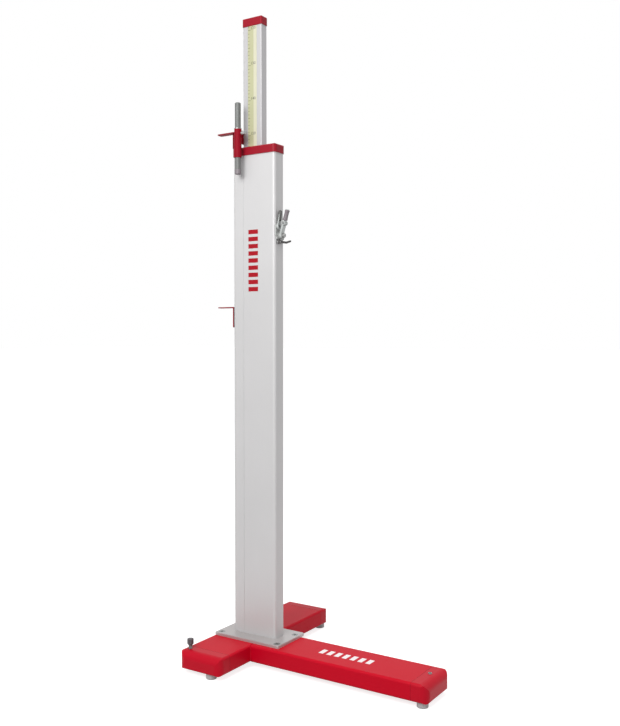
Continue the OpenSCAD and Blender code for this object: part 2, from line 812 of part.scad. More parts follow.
// Sliding shoe that carries the mast's lower end inside the column
module mast_shoe() {
  color([0.9, 0.9, 0.88]) translate([0, 0, slide_z]) difference() {
    linear_extrude(slide_h) difference() {
      column_hollow(slide_gap);
      round_rect(mast_x1 + 8, col_w - col_wall - 8, -col_in + 7, col_in - 7, 2, 2);
    }
    translate([0, 0, slide_floor]) linear_extrude(slide_h) mast_outline(0);
  }
}

rack_screw_y = (rack_line + rack_ded + mast_half) / 2 - 0.6;
function rack_screw_spots() = [
  for (i = [0 : rack_screw_n - 1])
    rack_z0 + 30 + i * (rack_z1 - rack_z0 - 60) / (rack_screw_n - 1)
];

// Rack: straight-flanked teeth that face the front, one space opposite the pinion's tooth
rack_k0 = ceil((rack_z0 - lift_z) / tooth_pitch + 0.5);
rack_k1 = floor((rack_z1 - lift_z) / tooth_pitch - 0.5);
function rack_tooth(z) =
  let (
    tip = tooth_pitch / 4 - rack_add * tan(pressure) - tooth_play / 2,
    root = tooth_pitch / 4 + rack_ded * tan(pressure) - tooth_play / 2
  ) [
    [rack_line + rack_ded, z - root], [rack_line - rack_add, z - tip],
    [rack_line - rack_add, z + tip], [rack_line + rack_ded, z + root]
  ];

module rack() {
  points = concat(
    [[mast_half, rack_z0], [rack_line + rack_ded, rack_z0]],
    [for (k = [rack_k0 : rack_k1 - 1], p = rack_tooth(lift_z + (k + 0.5) * tooth_pitch)) p],
    [[rack_line + rack_ded, rack_z1], [mast_half, rack_z1]]
  );
  color(STEEL) difference() {
    translate([mast_x1, 0, 0]) rotate([90, 0, 90]) linear_extrude(rack_w) polygon(points);
    for (z = rack_screw_spots()) {
      bar_x(mast_x1 - 1, mast_x1 + rack_w + 1, rack_screw_y, z, 1.2);
      bar_x(mast_x1 + rack_w - 2, mast_x1 + rack_w + 1, rack_screw_y, z, 1.7);
    }
  }
}

module rack_screws() {
  color(STEEL) for (z = rack_screw_spots()) {
    bar_x(mast_x1 - 3.5, mast_x1 + rack_w - 1, rack_screw_y, z, 1.2);
    bar_x(mast_x1 + rack_w - 2, mast_x1 + rack_w - 0.2, rack_screw_y, z, 1.7);
    bar_x(mast_x1 - 3.5, mast_x1, rack_screw_y, z, rack_screw_r);
  }
}

module scale_tape() {
  color([0.92, 0.9, 0.78])
    translate([mast_mid - tape_w / 2, -mast_half + tape_bed - tape_t, slide_top + 10])
      cube([tape_w, tape_t, mast_end - 6 - slide_top - 10]);
}

// ---------- upper carriage ----------

function bracket_screw_spots() = [bracket_z0 + 9, bracket_z1 - 12];
function upper_screw_spots() = [ledge_x0 + 5, bracket_x0 - 6];
function lower_screw_spots() = [lower_z - 14, lower_z - lower_leg + 13];

// Sleeve of the guide rod, the plate to the mast and the ledge under the upper support
module mast_bracket() {
  color(RED) difference() {
    union() {
      translate([sleeve_x, sleeve_y, sleeve_z0]) cylinder(r = sleeve_r, h = sleeve_z1 - sleeve_z0);
      translate([bracket_x0, sleeve_y + 5, bracket_z0])
        cube([bracket_t, mast_half - 1 - sleeve_y - 5, bracket_z1 - bracket_z0]);
      translate([ledge_x0, -support_w / 2 + 1, bracket_z1 - ledge_t])
        cube([bracket_x0 - ledge_x0 + EPS, support_w - 2, ledge_t]);
      bar_x(sleeve_x, sleeve_x + sleeve_r + 2, sleeve_y, rod_knob_z, rod_knob_r);
    }
    translate([sleeve_x, sleeve_y, sleeve_z0 - 1])
      cylinder(r = rod_r + run_gap, h = sleeve_z1 - sleeve_z0 + 2);
    translate([sleeve_x, sleeve_y, sleeve_z1]) cylinder(r = rod_r + ring_out + 0.6, h = ring_t + 4);
    bar_x(sleeve_x, sleeve_x + sleeve_r + 4, sleeve_y, rod_knob_z, rod_screw_r + run_gap);
    for (x = upper_screw_spots())
      translate([x, 0, bracket_z1 - ledge_t - 1]) cylinder(r = sunk_r, h = ledge_t + 2);
    for (z = bracket_screw_spots())
      bar_x(bracket_x0 - 1, mast_x + 1, 0, z, bracket_screw_r + 0.2);
  }
}

module bracket_screws() {
  color(STEEL) for (z = bracket_screw_spots()) translate([bracket_x0, 0, z]) {
    rotate([0, -90, 0]) button_head(bracket_head_r, bracket_head_h, 1.7);
    bar_x(-EPS, bracket_t + mast_wall + 1, 0, 0, bracket_screw_r);
  }
}

// Flat plate of a support, up to the given right end
module support_plate(top, x1) {
  translate([0, 0, top - support_t]) linear_extrude(support_t)
    round_rect(rail_x - support_l, x1, -support_w / 2, support_w / 2, 4, 0.5);
}

// Plate on the bracket's ledge, with a finger that keeps a cord in place
module upper_support() {
  color(RED) difference() {
    union() {
      support_plate(upper_z, bracket_x0 - 0.5);
      translate([finger_x, 0, 0]) rotate([90, 0, 90]) linear_extrude(support_t)
        round_rect(-finger_w / 2, finger_w / 2, upper_z - upper_leg, upper_z - 1, 2, 2);
    }
    for (x = upper_screw_spots()) translate([x, 0, 0]) {
      translate([0, 0, upper_z - support_t - 1]) cylinder(r = sunk_r + sunk_gap, h = support_t + 2);
      translate([0, 0, upper_z - sunk_r - sunk_gap])
        cylinder(r1 = sunk_r, r2 = 2 * sunk_r + sunk_gap, h = sunk_r + sunk_gap);
    }
  }
}

// Countersunk screw along Z whose flat top lies on z = 0
module sunk_screw(len) {
  difference() {
    union() {
      translate([0, 0, -sunk_r]) cylinder(r1 = sunk_r, r2 = 2 * sunk_r, h = sunk_r);
      translate([0, 0, -len]) cylinder(r = sunk_r, h = len - sunk_r + EPS);
    }
    translate([0, 0, -1.4]) cylinder(r = 1.4, h = 2.4, $fn = 6);
  }
}

module upper_support_screws() {
  color(STEEL) for (x = upper_screw_spots())
    translate([x, 0, upper_z - sunk_gap]) sunk_screw(support_t + ledge_t - sunk_gap);
}

module guide_rod() {
  top = upper_z + rod_above;
  bed_r = rod_r - ring_bed;
  color(STEEL) translate([sleeve_x, sleeve_y, 0]) rotate_extrude() polygon([
    [0, upper_z - rod_below], [rod_r, upper_z - rod_below],
    [rod_r, ring_z], [bed_r, ring_z], [bed_r, ring_z + ring_t], [rod_r, ring_z + ring_t],
    [rod_r, top - 2], [rod_r - 2, top], [0, top]
  ]);
}

// Retaining ring in the groove of the rod; it keeps the rod from dropping through
module rod_ring() {
  bed_r = rod_r - ring_bed;
  color(STEEL) translate([sleeve_x, sleeve_y, ring_z]) difference() {
    cylinder(r = rod_r + ring_out, h = ring_t);
    translate([0, 0, -1]) cylinder(r = bed_r, h = ring_t + 2);
  }
}

module rod_tip() {
  z0 = upper_z - rod_below - 4;
  color(DARK) translate([sleeve_x, sleeve_y, z0]) rotate_extrude() polygon([
    [0, 0], [tip_r - 2, 0], [tip_r, 2], [tip_r, tip_h], [rod_r, tip_h], [rod_r, 4], [0, 4]
  ]);
}

module rod_clamp_screw() {
  x0 = sleeve_x + rod_r + 0.2;
  x1 = sleeve_x + sleeve_r + 2.6 + rod_knob_l + rod_screw_end;
  color(STEEL) bar_x(x0, x1, sleeve_y, rod_knob_z, rod_screw_r);
}

module rod_clamp_knob() {
  x0 = sleeve_x + sleeve_r + 2.6;
  color(STEEL) difference() {
    translate([x0, sleeve_y, rod_knob_z]) rotate([0, 90, 0]) union() {
      cylinder(r = rod_knob_r - 1, h = 4);
      translate([0, 0, 4 - EPS]) linear_extrude(rod_knob_l - 4) difference() {
        circle(rod_knob_r);
        for (a = [0 : 60 : 300]) rotate(a) translate([rod_knob_r + 1, 0]) circle(1.7);
      }
    }
    bar_x(x0 - 1, x0 + rod_knob_l + 1, sleeve_y, rod_knob_z, rod_screw_r);
  }
}

// ---------- lower carriage ----------

module slider_block() {
  color(DARK) difference() {
    union() {
      translate([0, 0, slider_z0]) linear_extrude(lower_z - slider_z0 - 1)
        round_rect(rail_x, slider_x1, -slider_half, slider_half, 0.5, 1.5);
      translate([slider_x1 - EPS, -slot_w / 2 + key_play, slider_z0])
        cube([slot_lip + EPS, slot_w - 2 * key_play, lower_z - slider_z0 - 1]);
    }
    bar_x(rail_x - 1, slot_lip + 1, 0, clamp_z, clamp_r + run_gap);
    bar_x(rail_x - 1, clamp_seat_x, 0, clamp_z, clamp_seat_r);
    for (z = lower_screw_spots()) bar_x(rail_x - 1, rail_x + 6, 0, z, sunk_r);
  }
}

module slider_nut() {
  x0 = slot_lip + key_play;
  color(STEEL) difference() {
    translate([0, 0, slider_z0 + 2]) linear_extrude(lower_z - slider_z0 - 5)
      round_rect(x0, x0 + nut_d, -nut_w / 2, nut_w / 2, 0.5, 0.5);
    bar_x(x0 - 1, x0 + nut_d + 1, 0, clamp_z, clamp_r + run_gap);
  }
}

// Cap screw whose head sits in the leg and the block
module slider_clamp_screw() {
  x0 = rail_x - support_t + 0.6;
  color(STEEL) difference() {
    union() {
      bar_x(x0, clamp_seat_x - 0.2, 0, clamp_z, clamp_head_r);
      bar_x(x0, slot_lip + key_play + nut_d - 0.2, 0, clamp_z, clamp_r);
    }
    translate([x0 - 1, 0, clamp_z]) rotate([0, 90, 0]) cylinder(r = 2.9, h = 4, $fn = 6);
  }
}

// Flat bar support of the slider: a plate to the left and a leg down the block
module lower_support() {
  color(RED) difference() {
    union() {
      support_plate(lower_z, rail_x);
      translate([rail_x - support_t, 0, 0]) rotate([90, 0, 90]) linear_extrude(support_t)
        round_rect(-support_w / 2, support_w / 2, lower_z - lower_leg, lower_z - 0.5, 3, 3);
      translate([rail_x - support_t + EPS, support_w / 2 - 0.5, lower_z - support_t + EPS])
        rotate([90, 0, 0]) linear_extrude(support_w - 1) polygon([[-2, 0], [0, -2], [0, 0]]);
    }
    bar_x(rail_x - support_t - 1, rail_x + 1, 0, clamp_z, clamp_seat_r);
    for (z = lower_screw_spots()) {
      bar_x(rail_x - support_t - 1, rail_x + 1, 0, z, sunk_r + 0.1);
      translate([rail_x - support_t, 0, z]) rotate([0, 90, 0])
        cylinder(r1 = 2 * sunk_r + sunk_gap, r2 = sunk_r, h = sunk_r + sunk_gap);
    }
  }
}

module lower_support_screws() {
  color(STEEL) for (z = lower_screw_spots())
    translate([rail_x - support_t, 0, z]) rotate([0, -90, 0]) sunk_screw(support_t + 6);
}

// ---------- crank ----------

// Involute flank point of a gear: base radius rb, at radius r
function involute_angle(rb, r) =
  let (roll = sqrt(max(r * r / (rb * rb) - 1, 0))) roll * 180 / PI - atan(roll);

module pinion_profile() {
  rb = pitch_r * cos(pressure);
  ra = pitch_r + pinion_add;
  rf = pitch_r - pinion_ded;
  half = 90 / pinion_teeth - tooth_play / 2 / pitch_r * 180 / PI + involute_angle(rb, pitch_r);
  steps = 4;
  flank = [for (i = [0 : steps]) rb + (ra - rb) * i / steps];
  points = [
    for (t = [0 : pinion_teeth - 1])
      let (mid = t * 360 / pinion_teeth)
        each concat(
          [rf * [cos(mid - half), sin(mid - half)]],
          [for (r = flank) let (a = mid - half + involute_angle(rb, r)) r * [cos(a), sin(a)]],
          [for (i = [steps : -1 : 0])
            let (r = flank[i], a = mid + half - involute_angle(rb, r)) r * [cos(a), sin(a)]],
          [rf * [cos(mid + half), sin(mid + half)]]
        )
  ];
  polygon(points);
}

module crank_shaft() {
  color(STEEL) {
    bar_x(pinion_x0, crank_x0 + crank_hub_l + 4.9, shaft_y, lift_z, shaft_r);
    bar_x(block_x0 - 1.4, block_x0 - 0.3, shaft_y, lift_z, shaft_r + 2);
  }
}

module pinion() {
  color(STEEL) translate([pinion_x0, shaft_y, lift_z]) rotate([90, 0, 90])
    linear_extrude(pinion_w) difference() {
      pinion_profile();
      circle(shaft_r);
    }
}

// Frame of the crank arm: its Z runs along the arm, which leans away from the column
module on_arm() {
  translate([crank_x0 + crank_t / 2, shaft_y, lift_z]) rotate([0, crank_out, 0]) children();
}

// Hub, flat arm and the fork that holds the folding grip
module crank_arm() {
  color(STEEL) difference() {
    union() {
      bar_x(crank_x0, crank_x0 + crank_hub_l, shaft_y, lift_z, crank_hub_r);
      on_arm() {
        translate([-crank_t / 2, 0, 0]) rotate([90, 0, 90]) linear_extrude(crank_t)
          polygon([[-crank_hub_r + 2, 0], [crank_hub_r - 2, 0],
                   [fork_half, crank_r], [-fork_half, crank_r]]);
        bar_y(0, -fork_half, fork_half, crank_r, fork_r);
      }
    }
    bar_x(crank_x0 - 1, crank_x0 + crank_hub_l + 1, shaft_y, lift_z, shaft_r);
    on_arm() {
      translate([-fork_r - 1, -fork_slot, crank_r - eye_r - 1.5])
        cube([2 * fork_r + 2, 2 * fork_slot, 2 * fork_r + 3]);
      bar_y(0, -fork_half - 1, fork_half + 1, crank_r, fold_pin_r);
    }
  }
}

module crank_nut() {
  x0 = crank_x0 + crank_hub_l;
  x1 = x0 + washer_h + crank_nut_h;
  color(STEEL) difference() {
    union() {
      bar_x(x0, x0 + washer_h, shaft_y, lift_z, crank_nut_r + 0.5);
      translate([x0 + washer_h - EPS, shaft_y, lift_z]) rotate([0, 90, 0])
        cylinder(r = crank_nut_r, h = crank_nut_h, $fn = 6);
      translate([x1 - 2 * EPS, shaft_y, lift_z]) rotate([0, 90, 0])
        cylinder(r1 = crank_nut_r - 1.2, r2 = crank_nut_r - 3, h = 2);
    }
    bar_x(x0 - 1, x0 + 5, shaft_y, lift_z, shaft_r);
  }
}

// Pin across the fork, with a head at each end
module fold_pin() {
  color(STEEL) on_arm() {
    bar_y(0, -fork_half - 1, fork_half + 1, crank_r, fold_pin_r);
    for (y = [-fork_half - 1.5, fork_half]) bar_y(0, y, y + 1.5, crank_r, fold_pin_r + 1.6);
  }
}

// Eye on the fold pin and the spindle of the grip
module knob_pin() {
  end = knob_z + knob_l + 0.4;
  color(STEEL) on_arm() difference() {
    union() {
      bar_y(0, -eye_half, eye_half, crank_r, eye_r);
      translate([0, 0, crank_r + 2]) cylinder(r = knob_pin_r, h = end - crank_r - 2 + EPS);
      translate([0, 0, end]) cylinder(r = knob_pin_r + 1.8, h = 1.6);
    }
    bar_y(0, -fork_half, fork_half, crank_r, fold_pin_r + run_gap);
  }
}

module crank_knob() {
  color(DARK) on_arm() translate([0, 0, knob_z]) rotate_extrude() difference() {
    union() {
      translate([0, 2]) square([knob_r, knob_l - 4]);
      square([knob_r - 2, knob_l]);
      for (z = [2, knob_l - 2]) translate([knob_r - 2, z]) circle(2);
    }
    translate([knob_r + knob_waist_r - knob_waist, knob_l / 2]) circle(knob_waist_r, $fn = 120);
    translate([-knob_r, -1]) square([knob_r + knob_pin_r + run_gap, knob_l + 2]);
  }
}

// ---------- brake lever and mast lock ----------

module brake_shaft() {
  color(STEEL) bar_x(block_x0 + 4.5, lever_x0 + lever_t + 0.5, brake_y, brake_z, brake_shaft_r);
}

module brake_lever() {
  end = brake_l - lever_tip;
  color(STEEL) translate([lever_x0, brake_y, brake_z]) rotate([90, 0, 90]) difference() {
    union() {
      linear_extrude(lever_t) circle(8);
      rotate(-brake_lean) translate([0, 0, (lever_t - lever_web) / 2]) linear_extrude(lever_web)
        polygon([[-6, 0], [6, 0], [3.5, end], [-3.5, end]]);
    }
    translate([0, 0, -1]) cylinder(r = brake_shaft_r, h = lever_t + 2);
  }
}

// Moulded grip pushed over the lever's blade
module brake_lever_grip() {
  color(DARK) translate([lever_x0 + lever_t / 2, brake_y, brake_z]) rotate([-brake_lean, 0, 0])
    difference() {
      translate([0, 0, brake_l - grip_l]) rotate_extrude() {
        polygon([[0, 0], [grip_end_r - 0.6, 0], [grip_r, 3], [grip_r, 10],
                 [grip_end_r, grip_l - grip_end_r], [0, grip_l - grip_end_r]]);
        intersection() {
          translate([0, grip_l - grip_end_r]) circle(grip_end_r);
          square([grip_r + 2, grip_l + 2]);
        }
      }
      translate([-lever_web / 2, -brake_l, 0])
        cube([lever_web, 2 * brake_l, brake_l - lever_tip + 0.02]);
    }
}

// Lock screw: pad against the mast, shank and the collar that carries the lever
module lock_screw() {
  color(STEEL) {
    bar_x(mast_x1 + slide_gap, mast_x1 + slide_gap + 3, lock_y, lock_z, lock_pad_r);
    bar_x(mast_x1 + slide_gap, lock_x1 + lock_t + 0.5, lock_y, lock_z, lock_r);
    bar_x(lock_x0, lock_x1, lock_y, lock_z, lock_collar_r);
  }
}

// Flat lever on the lock screw: a round hub, an arm to the rear and a raised end
module lock_lever() {
  bend = lock_l * 0.62;
  color(DARK) translate([lock_x1, lock_y, lock_z]) rotate([90, 0, 90]) difference() {
    linear_extrude(lock_t) {
      circle(lock_collar_r);
      polygon([
        [0, -3.2], [bend, -2.8], [lock_l, lock_rise - 2.5],
        [lock_l - 1, lock_rise + 2.5], [bend - 2, 3], [0, 3.2]
      ]);
      translate([lock_l - 0.5, lock_rise]) circle(2.6);
    }
    translate([0, 0, -1]) cylinder(r = lock_r, h = lock_t + 2);
  }
}

// ---------- levelling ----------

module level_foot(spot) {
  color(STEEL) translate([spot[0], spot[1], pad_z]) difference() {
    rotate_extrude() polygon([
      [0, 0], [pad_r - 1, 0], [pad_r, 1], [pad_r, 3],
      [level_r + 1, pad_top - pad_z], [0, pad_top - pad_z]
    ]);
    translate([0, 0, 2]) cylinder(r = level_r + run_gap, h = beam_lift);
  }
}

// Threaded rod of a levelling foot, up to the given height
module level_rod(top) {
  color(STEEL) translate([0, 0, pad_z + 2.2]) cylinder(r = level_r, h = top - pad_z - 2.2);
}

module front_foot() {
  level_foot(front_level);
}

// Screw with its hand knob
module front_level_screw() {
  translate([front_level[0], front_level[1], 0]) {
    level_rod(level_knob_z + level_knob_neck);
    color(DARK) translate([0, 0, level_knob_z]) {
      cylinder(r1 = level_r + 1.5, r2 = level_r + 2.5, h = level_knob_neck);
      translate([0, 0, level_knob_neck - EPS])
        linear_extrude(level_knob_h - level_knob_neck) difference() {
          circle(level_knob_r);
          for (a = [0 : 60 : 300]) rotate(a) translate([level_knob_r + 1.8, 0]) circle(3);
        }
    }
  }
}

module arm_foot() {
  level_foot(arm_level);
}

// Headless screw, turned by a hex key from above
module arm_level_screw() {
  translate([arm_level[0], arm_level[1], 0]) difference() {
    level_rod(arm_screw_z);
    translate([0, 0, arm_screw_z - 5]) cylinder(r = level_r * 0.58, h = 6, $fn = 6);
  }
}

place() cross_beam();
place() long_arm();
place() beam_end_caps();
place() ballast_bars();
place() ballast_bolts();
place() fixed_feet();
place() levelling_nuts();
place() base_plate();
place() plate_bolts();
place() plate_nuts();
place() foot_block();
place() foot_bolts();
place() column();
place() column_screws();
place() column_cap();
place() mast_guide();
place() stop_buffer();
place() bearing_block();
place() shaft_bushes();
place() lift_housing();
place() housing_screws();
place() brake_plug();
place() mast();
place() mast_cap();
place() mast_shoe();
place() rack();
place() rack_screws();
place() scale_tape();
place() mast_bracket();
place() bracket_screws();
place() upper_support();
place() upper_support_screws();
place() guide_rod();
place() rod_ring();
place() rod_tip();
place() rod_clamp_knob();
place() rod_clamp_screw();
place() slider_block();
place() slider_nut();
place() lower_support();
place() lower_support_screws();
place() slider_clamp_screw();
place() crank_shaft();
place() pinion();
place() crank_arm();
place() crank_nut();
place() fold_pin();
place() knob_pin();
place() crank_knob();
place() brake_shaft();
place() brake_lever();
place() brake_lever_grip();
place() lock_screw();
place() lock_lever();
place() front_foot();
place() front_level_screw();
place() arm_foot();
place() arm_level_screw();
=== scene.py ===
"""Dresses the telescopic post: finishes, printed scale, stripes, welds, threads and studio."""
from __future__ import annotations

import logging
import math
from dataclasses import dataclass, field
from enum import Enum
from typing import ClassVar

import bmesh
import bpy
from mathutils import Matrix, Vector

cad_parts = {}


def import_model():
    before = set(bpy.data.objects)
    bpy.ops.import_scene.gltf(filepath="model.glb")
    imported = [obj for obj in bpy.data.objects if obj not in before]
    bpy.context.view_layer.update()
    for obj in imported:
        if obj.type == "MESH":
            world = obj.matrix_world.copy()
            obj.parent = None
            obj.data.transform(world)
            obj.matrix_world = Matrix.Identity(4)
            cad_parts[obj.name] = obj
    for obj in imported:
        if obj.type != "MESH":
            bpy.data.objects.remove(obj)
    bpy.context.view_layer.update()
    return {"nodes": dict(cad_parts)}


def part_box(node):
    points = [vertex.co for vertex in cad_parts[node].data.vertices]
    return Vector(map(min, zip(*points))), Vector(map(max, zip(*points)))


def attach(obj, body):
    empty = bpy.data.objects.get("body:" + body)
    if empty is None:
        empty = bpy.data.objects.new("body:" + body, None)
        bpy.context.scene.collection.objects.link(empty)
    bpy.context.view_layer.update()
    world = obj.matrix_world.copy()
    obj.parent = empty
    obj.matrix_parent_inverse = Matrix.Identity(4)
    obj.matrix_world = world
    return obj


LOG = logging.getLogger("post")
MM = 0.001
Point = tuple[float, float, float]
Colour = tuple[float, float, float]


class Body(Enum):
    """Rigid bodies that pieces ride on."""

    BASE = "base"
    MAST = "mast"
    ROD_CLAMP = "rod_clamp"
    FRONT_SCREW = "front_screw"
    ARM_SCREW = "arm_screw"


class Slot(Enum):
    """Material slots of the record, passed along with each new piece."""

    RED_PAINT = "red_paint"
    RED_PLASTIC = "red_plastic"
    STEEL = "steel"
    TAPE = "tape"


class Grain(Enum):
    """Direction in which a metal surface is drawn, brushed or turned."""

    ALONG_X = (0.02, 1.0, 1.0)
    ALONG_Z = (1.0, 1.0, 0.02)
    EVEN = (1.0, 1.0, 1.0)


# ---------------------------------------------------------------- shader groups


class ShaderGroups:
    """Node groups that several finishes share, each built once."""

    EDGE_RADIUS = 0.9 * MM
    EDGE_SAMPLES = 4
    FLAT_COSINE = 0.995
    SHARP_COSINE = 0.80

    def __init__(self) -> None:
        """Build the groups."""
        self.grain = self._grain()
        self.patches = self._patches()
        self.edge = self._edge()

    @staticmethod
    def _new(
        name: str, inputs: dict[str, tuple[str, object]], output: str
    ) -> bpy.types.NodeTree:
        """Make an empty group with named sockets.

        Args:
            name: the group's name.
            inputs: socket name to (kind, default value).
            output: the name of its one output, a number.

        Returns:
            The node group.
        """
        tree = bpy.data.node_groups.new(name, "ShaderNodeTree")
        for label, (kind, value) in inputs.items():
            socket = tree.interface.new_socket(label, in_out="INPUT", socket_type=kind)
            socket.default_value = value
        tree.interface.new_socket(output, in_out="OUTPUT", socket_type="NodeSocketFloat")
        return tree

    def _grain(self) -> bpy.types.NodeTree:
        """Fine stretched grain as of brushed or extruded metal.

        Returns:
            A group with inputs Stretch and Scale, and an output Value.
        """
        tree = self._new(
            "surface_grain",
            {
                "Stretch": ("NodeSocketVector", (1.0, 1.0, 1.0)),
                "Scale": ("NodeSocketFloat", 900.0),
            },
            "Value",
        )
        nodes, links = tree.nodes, tree.links
        enter, leave = nodes.new("NodeGroupInput"), nodes.new("NodeGroupOutput")
        coords = nodes.new("ShaderNodeTexCoord")
        stretch = nodes.new("ShaderNodeVectorMath")
        stretch.operation = "MULTIPLY"
        links.new(coords.outputs["Object"], stretch.inputs[0])
        links.new(enter.outputs["Stretch"], stretch.inputs[1])
        fine = nodes.new("ShaderNodeTexNoise")
        fine.inputs["Detail"].default_value = 3.0
        fine.inputs["Roughness"].default_value = 0.6
        links.new(stretch.outputs[0], fine.inputs["Vector"])
        links.new(enter.outputs["Scale"], fine.inputs["Scale"])
        links.new(fine.outputs["Fac"], leave.inputs["Value"])
        return tree

    def _patches(self) -> bpy.types.NodeTree:
        """Broad uneven patches, as of handling, dust or uneven coating.

        Returns:
            A group with inputs Scale and Contrast, and an output Mask.
        """
        tree = self._new(
            "uneven_patches",
            {
                "Scale": ("NodeSocketFloat", 12.0),
                "Contrast": ("NodeSocketFloat", 0.5),
            },
            "Mask",
        )
        nodes, links = tree.nodes, tree.links
        enter, leave = nodes.new("NodeGroupInput"), nodes.new("NodeGroupOutput")
        coords = nodes.new("ShaderNodeTexCoord")
        noise = nodes.new("ShaderNodeTexNoise")
        noise.inputs["Detail"].default_value = 5.0
        noise.inputs["Roughness"].default_value = 0.55
        links.new(coords.outputs["Object"], noise.inputs["Vector"])
        links.new(enter.outputs["Scale"], noise.inputs["Scale"])
        low = nodes.new("ShaderNodeMath")
        low.operation = "SUBTRACT"
        links.new(noise.outputs["Fac"], low.inputs[0])
        low.inputs[1].default_value = 0.5
        gain = nodes.new("ShaderNodeMath")
        gain.operation = "MULTIPLY_ADD"
        gain.use_clamp = True
        links.new(low.outputs[0], gain.inputs[0])
        links.new(enter.outputs["Contrast"], gain.inputs[1])
        gain.inputs[2].default_value = 0.5
        links.new(gain.outputs[0], leave.inputs["Mask"])
        return tree

    def _edge(self) -> bpy.types.NodeTree:
        """Mask of the convex and concave edges, broken up by noise.

        Returns:
            A group with inputs Breakup and Amount, and an output Mask.
        """
        tree = self._new(
            "edge_mask",
            {
                "Breakup": ("NodeSocketFloat", 160.0),
                "Amount": ("NodeSocketFloat", 1.0),
            },
            "Mask",
        )
        nodes, links = tree.nodes, tree.links
        enter, leave = nodes.new("NodeGroupInput"), nodes.new("NodeGroupOutput")
        geometry = nodes.new("ShaderNodeNewGeometry")
        bevel = nodes.new("ShaderNodeBevel")
        bevel.samples = self.EDGE_SAMPLES
        bevel.inputs["Radius"].default_value = self.EDGE_RADIUS
        dot = nodes.new("ShaderNodeVectorMath")
        dot.operation = "DOT_PRODUCT"
        links.new(bevel.outputs[0], dot.inputs[0])
        links.new(geometry.outputs["Normal"], dot.inputs[1])
        ramp = nodes.new("ShaderNodeMapRange")
        ramp.clamp = True
        ramp.inputs["From Min"].default_value = self.FLAT_COSINE
        ramp.inputs["From Max"].default_value = self.SHARP_COSINE
        links.new(dot.outputs["Value"], ramp.inputs["Value"])
        coords = nodes.new("ShaderNodeTexCoord")
        noise = nodes.new("ShaderNodeTexNoise")
        noise.inputs["Detail"].default_value = 4.0
        links.new(coords.outputs["Object"], noise.inputs["Vector"])
        links.new(enter.outputs["Breakup"], noise.inputs["Scale"])
        broken = nodes.new("ShaderNodeMath")
        broken.operation = "MULTIPLY"
        links.new(ramp.outputs["Result"], broken.inputs[0])
        links.new(noise.outputs["Fac"], broken.inputs[1])
        out = nodes.new("ShaderNodeMath")
        out.operation = "MULTIPLY"
        out.use_clamp = True
        links.new(broken.outputs[0], out.inputs[0])
        links.new(enter.outputs["Amount"], out.inputs[1])
        links.new(out.outputs[0], leave.inputs["Mask"])
        return tree


# ---------------------------------------------------------------- finishes


class ColourMix:
    """A colour Mix node by the names of its sockets, which other kinds share."""

    def __init__(self, tree: bpy.types.NodeTree) -> None:
        """Add the node to a tree and pick its colour sockets."""
        node = tree.nodes.new("ShaderNodeMix")
        node.data_type = "RGBA"
        self.inputs = {"Factor": node.inputs[0], "A": node.inputs[6], "B": node.inputs[7]}
        self.outputs = {"Result": node.outputs[2]}


